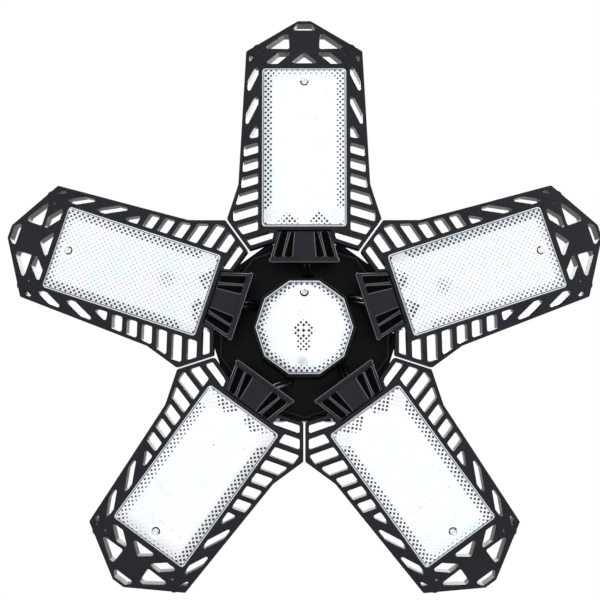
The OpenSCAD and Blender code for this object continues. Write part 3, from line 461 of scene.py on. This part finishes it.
def makeScrewCap():
    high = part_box("screw_shell")[1]
    outer, top = high.x, high.z
    root = outer - capShape["depth"]
    threadTop = top - capShape["curl"]
    step = capShape["pitch"] / capShape["rows"]
    rowCount = int((threadTop - capShape["skirt"]) / step)
    profile = [(outer - capShape["wall"], 0), (outer, 0), (outer, capShape["bead"]),
               (outer - capShape["waist"], capShape["beadEnd"]),
               (outer - capShape["waist"], capShape["waistEnd"])]
    profile += [(root, capShape["skirt"] + row * step) for row in range(rowCount + 1)]
    profile += [(root - inward * mm, top - below * mm) for inward, below in capMouth]
    shell = ringStack("threadedShell", profile, capShape["sides"])
    rollThread(shell, root, threadTop)
    editAll(shell)
    bpy.ops.mesh.normals_make_consistent(inside=False)
    leaveEdit()
    smoothUnder(shell, capShape["smooth"])
    setMaterial(shell, capNickel)
    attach(shell, "hub")
    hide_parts("screw_shell")


makeScrewCap()
print("screw cap made")


# ---- Pieces whose edges are softened ----

# the radii of the lens screws' heads and shanks, and the centre screw's head as a share of the others'
screwHeads = {"cad": 2.5 * mm, "shown": 1.68 * mm, "shank": 1.6 * mm, "centreShare": 0.88}


def slimHead(screw, axis, newReach):
    # what stands out past the shank is drawn in to the radius that shows
    editAll(screw)
    bpy.ops.mesh.select_all(action="DESELECT")
    leaveEdit()
    for vertex in screw.data.vertices:
        vertex.select = (vertex.co.xy - axis.xy).length > screwHeads["shank"]
    bpy.ops.object.mode_set(mode="EDIT")
    share = newReach / screwHeads["cad"]
    bpy.ops.transform.resize(value=(share, share, 1), center_override=axis)
    leaveEdit()


softPieces = {  # node: name, edge radius in mm, material, record's slot
    "cap_insulator": ("glazedInsulator", 0.3, insulatorWhite, "insulator"),
    "eyelet_contact": ("centreContact", 0.15, capNickel, "cap_metal"),
    "neck_cover": ("flaredNeck", 0.35, plasticBlack, "housing_plastic"),
    "driver_housing": ("ribbedHousing", 0.35, plasticBlack, "housing_plastic"),
    "hub_base": ("hubPlate", 0.35, plasticBlack, "housing_plastic"),
    "centre_tray": ("centreTray", 0.4, plasticBlack, "housing_plastic"),
    "tray_screws": ("trayScrews", 0.12, steelBright, "bright_steel"),
    "hub_screws": ("plateScrews", 0.12, steelDark, "dark_steel"),
    "centre_lens_screw": ("centreScrew", 0.12, steelBright, "bright_steel"),
    "hinge_bolts": ("hingePins", 0.15, steelBright, "bright_steel"),
    "hinge_nuts": ("pinNuts", 0.15, steelBright, "bright_steel"),
    "friction_washers": ("frictionRings", 0.12, steelDark, "dark_steel"),
}
for node, (name, radius, material, slotName) in softPieces.items():
    piece = copyOfNode(node, name)
    if node == "centre_lens_screw":
        slimHead(piece, nodeMiddle(node), screwHeads["shown"] * screwHeads["centreShare"])
    softenEdges(piece, radius * mm)
    setMaterial(piece, material)
    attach(piece, "hub")
    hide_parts(node)
print("hub pieces softened")

panelPieces = {  # as softPieces, for each panel
    "panel_frame": ("latticeCasting", 0.3, coatBlack, "black_cast"),
    "hinge_bracket": ("lugBracket", 0.3, coatPlate, "black_cast"),
    "lens_screw": ("lensScrew", 0.12, steelPaintedHighlight, "bright_steel"),
    "bracket_screws": ("bracketScrews", 0.12, steelDark, "dark_steel"),
}
finSide = -92.5 * mm  # the castings' edges above this height stay sharp, as their fins stand close
pockets = {"plate": 1 * mm, "skin": 0.25 * mm, "depth": 3 * mm, "inner": 4.5 * mm, "outer": 15.6 * mm,
           "lip": 2.3 * mm, "sideways": 0.25, "down": -0.2}


def finishBracket(bracket, radius):
    # pocket walls and floors get painted deep shade, and only edges turned to the side keep the painted
    # highlight
    for material in (coatEdgeHighlight, coatPaintedShade):
        bracket.data.materials.append(material)
    softenEdges(bracket, radius, edgeSlot=1)
    low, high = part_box("hinge_bracket_1")
    plate, lipEnd = low.z + pockets["plate"], high.y - pockets["lip"]
    for side in bracket.data.polygons:
        depth, across = side.center.z - plate, abs(side.center.x)
        onLip = side.center.y > lipEnd
        if side.material_index == 1:
            sideways = max(abs(side.normal.x), side.normal.y if onLip else 0)
            bright = sideways > pockets["sideways"] and side.normal.z < pockets["down"]
            side.material_index = 1 if bright and depth < pockets["skin"] else 0
        elif pockets["skin"] < depth < pockets["depth"] and not onLip:
            if pockets["inner"] < across < pockets["outer"]:
                side.material_index = 2


for node, (name, radius, material, slotName) in panelPieces.items():
    first = copyOfNode(node + "_1", name + "_1")
    setMaterial(first, material)
    if node == "hinge_bracket":
        finishBracket(first, radius * mm)
    else:
        if node == "lens_screw":
            slimHead(first, nodeMiddle("lens_screw_1"), screwHeads["shown"])
        softenEdges(first, radius * mm, sharpAbove=finSide)
    for panel in panelNumbers:
        piece = first if panel == 1 else turnedCopy(first, panel, f"{name}_{panel}")
        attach(piece, f"panel_{panel}")
        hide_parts(f"{node}_{panel}")
print("panel castings softened")


# ---- Lenses ----

prisms = {"cell": 1.85 * mm, "rise": 0.22 * mm, "stand": 0.03 * mm, "border": 0.9 * mm, "skirt": 0.4 * mm,
          "turn": math.radians(45), "cover": 0.77, "cutSlack": 0.001 * mm, "screwClear": 3.2 * mm}
rowGap = prisms["cell"] * math.sqrt(0.5)  # the cells stand on their corners
lands = {"reach": 3.8 * mm, "hole": 2.15 * mm, "holeSlack": 1.01, "sides": 40, "gap": 0.02 * mm,
         "centreShare": 0.9, "darkFrom": -0.2 * mm, "allDark": -9 * mm}
lensBody = {"smooth": 25, "facingDown": -0.99, "stripDepth": 0.2 * mm, "inset": 1.5 * mm}


def prismSheet(name, middle, reach, face, cuts, screw, rise=prisms["rise"], turn=0):
    # a field of low four-sided pyramids, cut to the lens's outline and open round the screw
    count = math.ceil(reach / prisms["cell"]) * 2 + 1
    bpy.ops.object.select_all(action="DESELECT")
    bpy.ops.mesh.primitive_grid_add(x_subdivisions=count, y_subdivisions=count, size=count * prisms["cell"],
                                    location=(middle.x, middle.y, face - prisms["stand"]),
                                    rotation=(math.pi, 0, prisms["turn"] + turn))
    sheet = bpy.context.object
    sheet.name = name
    placeInMesh(sheet)
    editAll(sheet)
    bpy.ops.mesh.poke(offset=rise)
    for point, outward in cuts:
        bpy.ops.mesh.select_all(action="SELECT")
        bpy.ops.mesh.bisect(plane_co=point, plane_no=outward, clear_outer=True, threshold=prisms["cutSlack"])
    bpy.ops.mesh.select_all(action="DESELECT")
    leaveEdit()
    for side in sheet.data.polygons:
        side.select = (side.center.xy - screw.xy).length < prisms["screwClear"]
    bpy.ops.object.mode_set(mode="EDIT")
    bpy.ops.mesh.select_mode(type="FACE")
    bpy.ops.mesh.delete(type="FACE")
    bpy.ops.mesh.select_mode(type="EDGE")
    bpy.ops.mesh.select_all(action="DESELECT")
    bpy.ops.mesh.select_non_manifold()
    bpy.ops.mesh.extrude_region_move(TRANSFORM_OT_translate={"value": (0, 0, prisms["skirt"])})
    bpy.ops.mesh.select_mode(type="VERT")
    leaveEdit()
    return sheet


def screwLand(name, screw, face, gap, darkFrom):
    # a flat ring round the screw's hole; the gap beside the head gets painted shade on the hub's side
    deep = prisms["skirt"]
    ring = ringStack(name, [(gap, deep), (lands["hole"], deep), (lands["hole"], 0),
                            (lands["reach"], 0), (lands["reach"], deep)], lands["sides"])
    ring.location = (screw.x, screw.y, face - prisms["stand"] * 2)
    placeInMesh(ring)
    ring.data.materials.append(lensClear)
    ring.data.materials.append(coatPaintedShade)
    hubward = -screw.xy.normalized()
    for side in ring.data.polygons:
        away = side.center.xy - screw.xy
        inGap = away.length < lands["hole"] * lands["holeSlack"] and away.dot(hubward) > darkFrom
        side.material_index = 1 if inGap else 0
    return ring


def paintSheet(sheet, face, toneAt, rise=prisms["rise"]):
    # dot: how dark the tip of a pyramid looks; shade: how much less light the lens gives there
    for name in ("dot", "shade"):
        sheet.data.attributes.new(name, "FLOAT", "POINT")
    dots, shades = sheet.data.attributes["dot"], sheet.data.attributes["shade"]
    for vertex in sheet.data.vertices:
        height = min(max((face - prisms["stand"] - vertex.co.z) / rise, 0), 1)
        weight, shade = toneAt(vertex.co)
        dots.data[vertex.index].value = height * weight
        shades.data[vertex.index].value = shade


def edgeMaterials(lens, face):
    # the step round the edge catches the light, the strip inside it is a thin dark line of painted shade
    setMaterial(lens, lensClear)
    lens.data.materials.append(lensDark)
    for side in lens.data.polygons:
        strip = side.normal.z < lensBody["facingDown"] and side.center.z < face + lensBody["stripDepth"]
        side.material_index = 1 if strip else 0


def finishLens(lens, sheet, land, face):
    smoothUnder(lens, lensBody["smooth"])
    edgeMaterials(lens, face)
    setMaterial(sheet, lensClear)
    for piece in (lens, land):
        for name in ("dot", "shade"):
            piece.data.attributes.new(name, "FLOAT", "POINT")
    selectOnly(lens, sheet, land)
    bpy.ops.object.join()


# for each panel, how strong dots and shade are: left side, right side, inner end, outer end, whole lens;
# then how far out the clusters at the inner end stand, in mm, and how steep their edges are
panelTones = {
    1: ((1.2, 0.3), (0.95, 0.12), (1.25, 0.14), (0.66, 0.2), (0, 0), (7.2, 0.85)),
    2: ((1.3, 0.4), (0.9, 0.25), (1.45, 0.25), (0.8, 0.3), (0.56, 0.13), (7.2, 0.85)),
    3: ((1.1, 0.12), (1.1, 0.15), (1.35, 0.1), (0.6, 0.14), (0, 0), (8, 0.6)),
    4: ((1.25, 0.3), (0.9, 0.12), (1.2, 0.12), (0.62, 0.34), (0, 0), (8, 0.6)),
    5: ((1.15, 0.3), (1.1, 0.25), (1.45, 0.25), (0.75, 0.25), (0.56, 0.13), (7.2, 0.85)),
}
sideBands = {"dots": (5.4, 4.4), "full": (4.6, 2.4), "part": 0.8, "shade": (8.5, 2)}  # mm from the side
innerCluster = {"reach": (9, 6), "apart": (2.2, 3.2), "end": (0.9, 1.3), "random": (0.6, 1)}
outerBand = {"dots": (6.6, 3.2), "slope": 0.03, "shade": (9, 1), "corner": (9, 4), "cornerDots": 0.25}
glareSpots = {"out": 15.6 * mm, "along": 5.2 * mm, "fade": (5, 3.4), "shade": 0.14}
# a patch near each lens's middle line where it gives less light: more dots and painted shade
dimPatch = {"out": 1.5 * mm, "along": 21.5 * mm, "fade": (5.5, 1.5), "random": (0.4, 1), "dots": 0.62,
          "onGrey": 0.25, "shade": 1.5}
ledRows = {"first": 11.6 * mm, "pitch": 12.9 * mm, "count": 5, "across": 5.4 * mm, "sideways": 2,
           "reach": 1 * mm, "shade": 0.6, "random": (0.2, 1)}
dotRandom = (0.93, 1.03)


def ledMark(u, rest):
    # where a chip shows faintly through the lens
    row = round((rest - ledRows["first"]) / ledRows["pitch"])
    column = round(u / ledRows["across"])
    if not 0 <= row < ledRows["count"] or abs(column) > ledRows["sideways"]:
        return 0
    away = math.hypot(u - column * ledRows["across"], rest - ledRows["first"] - row * ledRows["pitch"])
    return max(1 - away / ledRows["reach"], 0)


def panelTone(panel, half, innerEnd, outerEnd):
    left, right, inner, outer, whole, (clusterOut, clusterSlope) = panelTones[panel]
    chance = random.Random(panel)

    def toneAt(place):
        u, v = place.x, innerEnd - place.y
        rest, gap = place.y - outerEnd, half - abs(u)
        side = right if u > 0 else left
        beside = fade(sideBands["dots"], gap)
        beside *= sideBands["part"] + (1 - sideBands["part"]) * fade(sideBands["full"], gap)
        cluster = fade(innerCluster["reach"], v + abs(abs(u) - clusterOut * mm) * clusterSlope)
        cluster *= fade(innerCluster["apart"], abs(u)) * fade(innerCluster["end"], v)
        cluster *= chance.uniform(*innerCluster["random"])
        end = fade(outerBand["dots"], rest + gap * outerBand["slope"])
        corner = fade(outerBand["corner"], gap) * end
        glare = fade(glareSpots["fade"], math.hypot(abs(u) - glareSpots["out"], v - glareSpots["along"]))
        inDimPatch = fade(dimPatch["fade"], math.hypot(u - dimPatch["out"], v - dimPatch["along"]))
        inDimPatch *= chance.uniform(*dimPatch["random"])
        over = whole[0] + dimPatch["onGrey"] * inDimPatch if whole[0] else inDimPatch * dimPatch["dots"]
        weight = max(side[0] * beside * (1 - glare), inner[0] * cluster,
                     outer[0] * end + outerBand["cornerDots"] * corner, over) * chance.uniform(*dotRandom)
        shade = max(side[1] * fade(sideBands["shade"], gap), inner[1] * cluster,
                    outer[1] * fade(outerBand["shade"], rest), whole[1] * (1 + inDimPatch * dimPatch["shade"]),
                    glareSpots["shade"] * glare)
        mark = ledRows["shade"] * ledMark(u, rest) * chance.uniform(*ledRows["random"])
        return weight, max(shade, mark)

    return toneAt


def makePanelLens(panel):
    low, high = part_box("panel_lens_1")
    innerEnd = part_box("led_board_1")[1].y + lensBody["inset"]
    outerEnd, half, face = low.y, high.x, low.z
    screw = nodeMiddle("lens_screw_1")
    edge = half - prisms["border"]
    middle = Vector((rowGap / 2, (innerEnd + outerEnd) / 2, face))
    cuts = [((edge, 0, 0), (1, 0, 0)), ((-edge, 0, 0), (-1, 0, 0)),
            ((0, innerEnd - prisms["border"], 0), (0, 1, 0)),
            ((0, outerEnd + prisms["border"], 0), (0, -1, 0))]
    reach = (innerEnd - outerEnd) * prisms["cover"]
    sheet = prismSheet(f"prisms_{panel}", middle, reach, face, cuts, screw)
    paintSheet(sheet, face, panelTone(panel, half, innerEnd, outerEnd))
    lens = copyOfNode("panel_lens_1", f"prismaticLens_{panel}")
    gap = screwHeads["shown"] + lands["gap"]
    land = screwLand(f"land_{panel}", screw, face, gap, lands["darkFrom"])
    finishLens(lens, sheet, land, face)
    lens.rotation_euler.z = panelTurn * (panel - 1)
    placeInMesh(lens)
    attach(lens, f"panel_{panel}")
    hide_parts(f"panel_lens_{panel}")


for panel in panelNumbers:
    makePanelLens(panel)
print("panel lenses made")


centreField = {"sides": 10, "halfSector": 18, "rise": 0.11 * mm, "core": (-0.35 * mm, 1.55 * mm),
               "coreCover": 1.5, "rimCover": 0.7, "band": 3.93 * mm, "screwPlain": 4.1 * mm}
centreRim = {"from": 0.05 * mm, "dots": (1.25, 1.05, 0.62), "base": 0.86, "leftDots": 0.3, "shade": 0.2,
             "leftShade": 0.25, "rowFade": 0.35, "top": (6, -8), "topEdge": (1.4, 0.3), "topShade": 0.85}
centreMiddle = {"rings": [(0.9, 1.9), (2.3, 0.52), (3.2, 1.5), (4.4, 1.15), (5.5, 0.62)],  # mm and dots
                "columns": [((3, 9.4), 1), ((-9.6, -5), 0.56)], "columnHalf": 2.9 * mm,
                "blobX": -1 * mm, "blobY": 17 * mm, "blobFade": (4.5, 1), "blobShade": 0.5,
                "left": (5, -12), "leftLean": 0.3, "edge": (12, 2), "edgeShade": 0.16}
centreRandom = {"rim": (0.85, 1.05), "middle": (0.88, 1.05)}


def joinTurned(strip, count, middle):
    # the strip is turned round the middle, one copy to a side
    copies = [strip]
    for number in range(1, count):
        copy = strip.copy()
        copy.data = strip.data.copy()
        bpy.context.collection.objects.link(copy)
        copy.rotation_euler.z = math.tau * number / count
        placeInMesh(copy)
        copies.append(copy)
    selectOnly(middle, *copies)
    bpy.ops.object.join()


def centreTone(outwards, flatReach, bandReach, screw, core):
    chance = random.Random(9)

    def rimTone(place, gap, leftSide):
        row = min(int(gap / rowGap), len(centreRim["dots"]) - 1)
        weight = centreRim["dots"][row] * (centreRim["base"] + centreRim["leftDots"] * leftSide)
        shade = (centreRim["shade"] + centreRim["leftShade"] * leftSide) * (1 - row * centreRim["rowFade"])
        top = fade(centreRim["top"], place.y) * fade(centreRim["topEdge"], gap)
        return weight * chance.uniform(*centreRandom["rim"]), max(shade, centreRim["topShade"] * top)

    def middleTone(place, gap, leftSide):
        away = place - core
        rings = [tone for ring, tone in centreMiddle["rings"] if away.xy.length < ring * mm]
        weight = rings[0] if rings else 0
        for (start, end), tone in centreMiddle["columns"]:
            if abs(away.x) < centreMiddle["columnHalf"] and start * mm < away.y < end * mm:
                weight = max(weight, tone)
        blob = math.hypot(place.x - centreMiddle["blobX"], place.y - centreMiddle["blobY"])
        shade = max(centreMiddle["blobShade"] * fade(centreMiddle["blobFade"], blob),
                    centreMiddle["edgeShade"] * leftSide * fade(centreMiddle["edge"], gap))
        return weight * chance.uniform(*centreRandom["middle"]), shade

    def toneAt(place):
        reach = max(place.dot(outward) for outward in outwards)
        leftSide = fade(centreMiddle["left"], place.x - place.y * centreMiddle["leftLean"])
        if (place.xy - screw.xy).length < centreField["screwPlain"]:
            return 0, 0
        if reach > bandReach + centreRim["from"]:
            return rimTone(place, flatReach - reach, leftSide)
        return middleTone(place, flatReach - reach, leftSide)

    return toneAt


def makeCentreLens():
    low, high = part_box("centre_lens")
    face, cornerReach = low.z, high.x
    halfSector = centreField["halfSector"]
    flatReach = cornerReach * math.cos(math.radians(halfSector)) - prisms["border"]
    bandReach = flatReach - centreField["band"]
    screw = nodeMiddle("centre_lens_screw")
    outwards = [Vector((math.cos(turn), math.sin(turn), 0)) for turn in
                (math.radians(halfSector * (2 * side + 1)) for side in range(centreField["sides"]))]
    core = Vector((*centreField["core"], face))
    rise = centreField["rise"]
    sheet = prismSheet("centrePrisms", core, cornerReach * centreField["coreCover"], face,
                       [(outward * bandReach, outward) for outward in outwards], screw, rise)
    side = outwards[0]
    sector = math.radians(2 * halfSector)
    cuts = [(side * flatReach, side), (side * bandReach, -side), (Vector(), Vector((0, -1, 0))),
            (Vector(), Vector((-math.sin(sector), math.cos(sector), 0)))]
    strip = prismSheet("rimPrisms", side * (bandReach + centreField["band"] / 2),
                       cornerReach * centreField["rimCover"], face, cuts, Vector(), rise, sector / 2)
    joinTurned(strip, centreField["sides"], sheet)
    paintSheet(sheet, face, centreTone(outwards, flatReach, bandReach, screw, core), rise)
    lens = copyOfNode("centre_lens", "centrePrismLens")
    gap = screwHeads["shown"] * lands["centreShare"]
    land = screwLand("centreLand", screw, face, gap, lands["allDark"])
    finishLens(lens, sheet, land, face)
    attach(lens, "hub")
    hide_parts("centre_lens")


makeCentreLens()
print("centre lens made")


# ---- Leads across the hinges ----

leadShape = {"radius": 0.95 * mm, "spread": 1.15 * mm, "sides": 3, "steps": 12, "smooth": 60, "exit": 28.457,
             "bendFrom": 35, "bendTo": 50}
leadTurns = {1: 3.4, 2: -15, 3: -8, 4: -19, 5: 7.3}  # where each lead leaves the hub, in degrees
# mm out, share of the exit's place sideways, height in mm; out from the exit, then from the hub's axis
leadStart = [(0, 1, -58.1), (-0.3, 1, -69), (-2, 1, -72.6), (-1.1, 0.95, -75.6)]
leadEnd = [(35.0, 0.35, -81.8), (44.21, 0, -83.6), (49.21, 0, -84.7), (54.01, 0, -86.3),
           (55.21, 0, -88.8), (55.21, 0, -90.8)]


def leadRoute(panel):
    turn = math.radians(leadTurns[panel])
    out, sideways = leadShape["exit"] * math.cos(turn), leadShape["exit"] * math.sin(turn)
    route = [(out + further, sideways * share, height) for further, share, height in leadStart]
    return route + [(further, sideways * share, height) for further, share, height in leadEnd]


def makeLead(panel):
    route = leadRoute(panel)
    line = bpy.data.curves.new(f"lead_{panel}", "CURVE")
    line.dimensions = "3D"
    line.bevel_depth = leadShape["radius"]
    line.bevel_resolution = leadShape["sides"]
    line.use_fill_caps = True
    line.resolution_u = leadShape["steps"]
    for side in (-1, 1):
        strand = line.splines.new("BEZIER")
        strand.bezier_points.add(len(route) - 1)
        for bezier, (v, u, z) in zip(strand.bezier_points, route):
            bezier.co = Vector((u * mm + side * leadShape["spread"], -v * mm, z * mm))
            bezier.handle_left_type = bezier.handle_right_type = "AUTO"
    lead = bpy.data.objects.new(f"twinLead_{panel}", line)
    bpy.context.collection.objects.link(lead)
    selectOnly(lead)
    bpy.ops.object.convert(target="MESH")
    lead = bpy.context.object
    lead.rotation_euler.z = panelTurn * (panel - 1)
    placeInMesh(lead)
    smoothUnder(lead, leadShape["smooth"])
    setMaterial(lead, wireBlack)
    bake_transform(lead)
    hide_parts(f"panel_lead_{panel}")


for panel in panelNumbers:
    makeLead(panel)
print("leads made")


# ---- CAD nodes that stay, dressed ----

kept = {"driver_board": boardGreen("circuitBoard"), "transformer": woundCopper("winding"),
        "input_capacitor": sleeveBlue, "live_lead": wireRed, "neutral_lead": wireWhite,
        "centre_lead": wireBlack, "centre_led_board": whiteBoard("centreBoard", "centre_led_board")}
panelBoard = whiteBoard("panelBoard", "led_board_1")
for panel in panelNumbers:
    kept[f"led_board_{panel}"] = panelBoard
for node, material in kept.items():
    for place in nodes[node].material_slots:
        place.material = material
print("kept nodes dressed")


# ---- Floor, light and camera ----

floorLook = {"depth": -1.25, "size": 6, "colour": (0.82, 0.82, 0.82, 1), "roughness": 0.9}
sky = {"fill": 0.6, "colour": (0.97, 0.98, 1, 1), "white": (1, 1, 1, 1)}


def whiteForRays(tree):
    # seen straight on, in a reflection or through glass, the surroundings are white
    path = addNode(tree, "ShaderNodeLightPath")
    either = addNode(tree, "ShaderNodeMath", operation="MAXIMUM")
    anyRay = addNode(tree, "ShaderNodeMath", operation="MAXIMUM")
    tree.links.new(path.outputs["Is Camera Ray"], either.inputs[0])
    tree.links.new(path.outputs["Is Glossy Ray"], either.inputs[1])
    tree.links.new(either.outputs["Value"], anyRay.inputs[0])
    tree.links.new(path.outputs["Is Transmission Ray"], anyRay.inputs[1])
    return anyRay.outputs["Value"]


def mixByRay(tree, plain, white, output):
    mix = addNode(tree, "ShaderNodeMixShader")
    tree.links.new(whiteForRays(tree), mix.inputs["Fac"])
    tree.links.new(plain, mix.inputs[1])
    tree.links.new(white, mix.inputs[2])
    tree.links.new(mix.outputs["Shader"], tree.nodes[output].inputs["Surface"])


def makeFloor():
    bpy.ops.object.select_all(action="DESELECT")
    bpy.ops.mesh.primitive_plane_add(size=floorLook["size"], location=(0, 0, floorLook["depth"]))
    floor = bpy.context.object
    floor.name = "floor"
    material, tree, shader = newMaterial("floorPaint")
    shader.inputs["Base Color"].default_value = floorLook["colour"]
    shader.inputs["Roughness"].default_value = floorLook["roughness"]
    white = addNode(tree, "ShaderNodeEmission")
    mixByRay(tree, shader.outputs["BSDF"], white.outputs["Emission"], "Material Output")
    floor.data.materials.append(material)


def makeWorld():
    world = bpy.data.worlds.new("paleRoom")
    world.use_nodes = True
    bpy.context.scene.world = world
    tree = world.node_tree
    plain = tree.nodes["Background"]
    plain.inputs["Color"].default_value = sky["colour"]
    plain.inputs["Strength"].default_value = sky["fill"]
    white = addNode(tree, "ShaderNodeBackground")
    white.inputs["Color"].default_value = sky["white"]
    mixByRay(tree, plain.outputs["Background"], white.outputs["Background"], "World Output")


lamps = {  # place, size, power
    "softLeft": ((-0.9, -0.7, -0.8), 0.8, 9),
    "softRight": ((0.9, -0.3, -0.9), 0.8, 7),
    "softTop": ((0.2, -0.6, 1.1), 1.0, 14),
}
lampTarget = Vector((0, 0, -0.07))


def makeLamps():
    for name, (place, size, power) in lamps.items():
        light = bpy.data.lights.new(name, "AREA")
        light.size = size
        light.energy = power
        lamp = bpy.data.objects.new(name, light)
        bpy.context.collection.objects.link(lamp)
        lamp.location = place
        aim = lampTarget - lamp.location
        lamp.rotation_euler = aim.to_track_quat("-Z", "Y").to_euler()


view = {"place": (0.00116, 0.02463, -0.63453), "turn": (-175.9915, -0.3438, -0.0115), "focal": 66.8,
        "sensor": 36}


def makeCamera():
    data = bpy.data.cameras.new("camera")
    data.lens = view["focal"]
    data.sensor_width = view["sensor"]
    camera = bpy.data.objects.new("camera", data)
    bpy.context.collection.objects.link(camera)
    camera.location = view["place"]
    camera.rotation_euler = [math.radians(angle) for angle in view["turn"]]
    bpy.context.scene.camera = camera


makeFloor()
makeWorld()
makeLamps()
makeCamera()
bpy.context.scene.view_settings.view_transform = "Standard"
print("studio set")
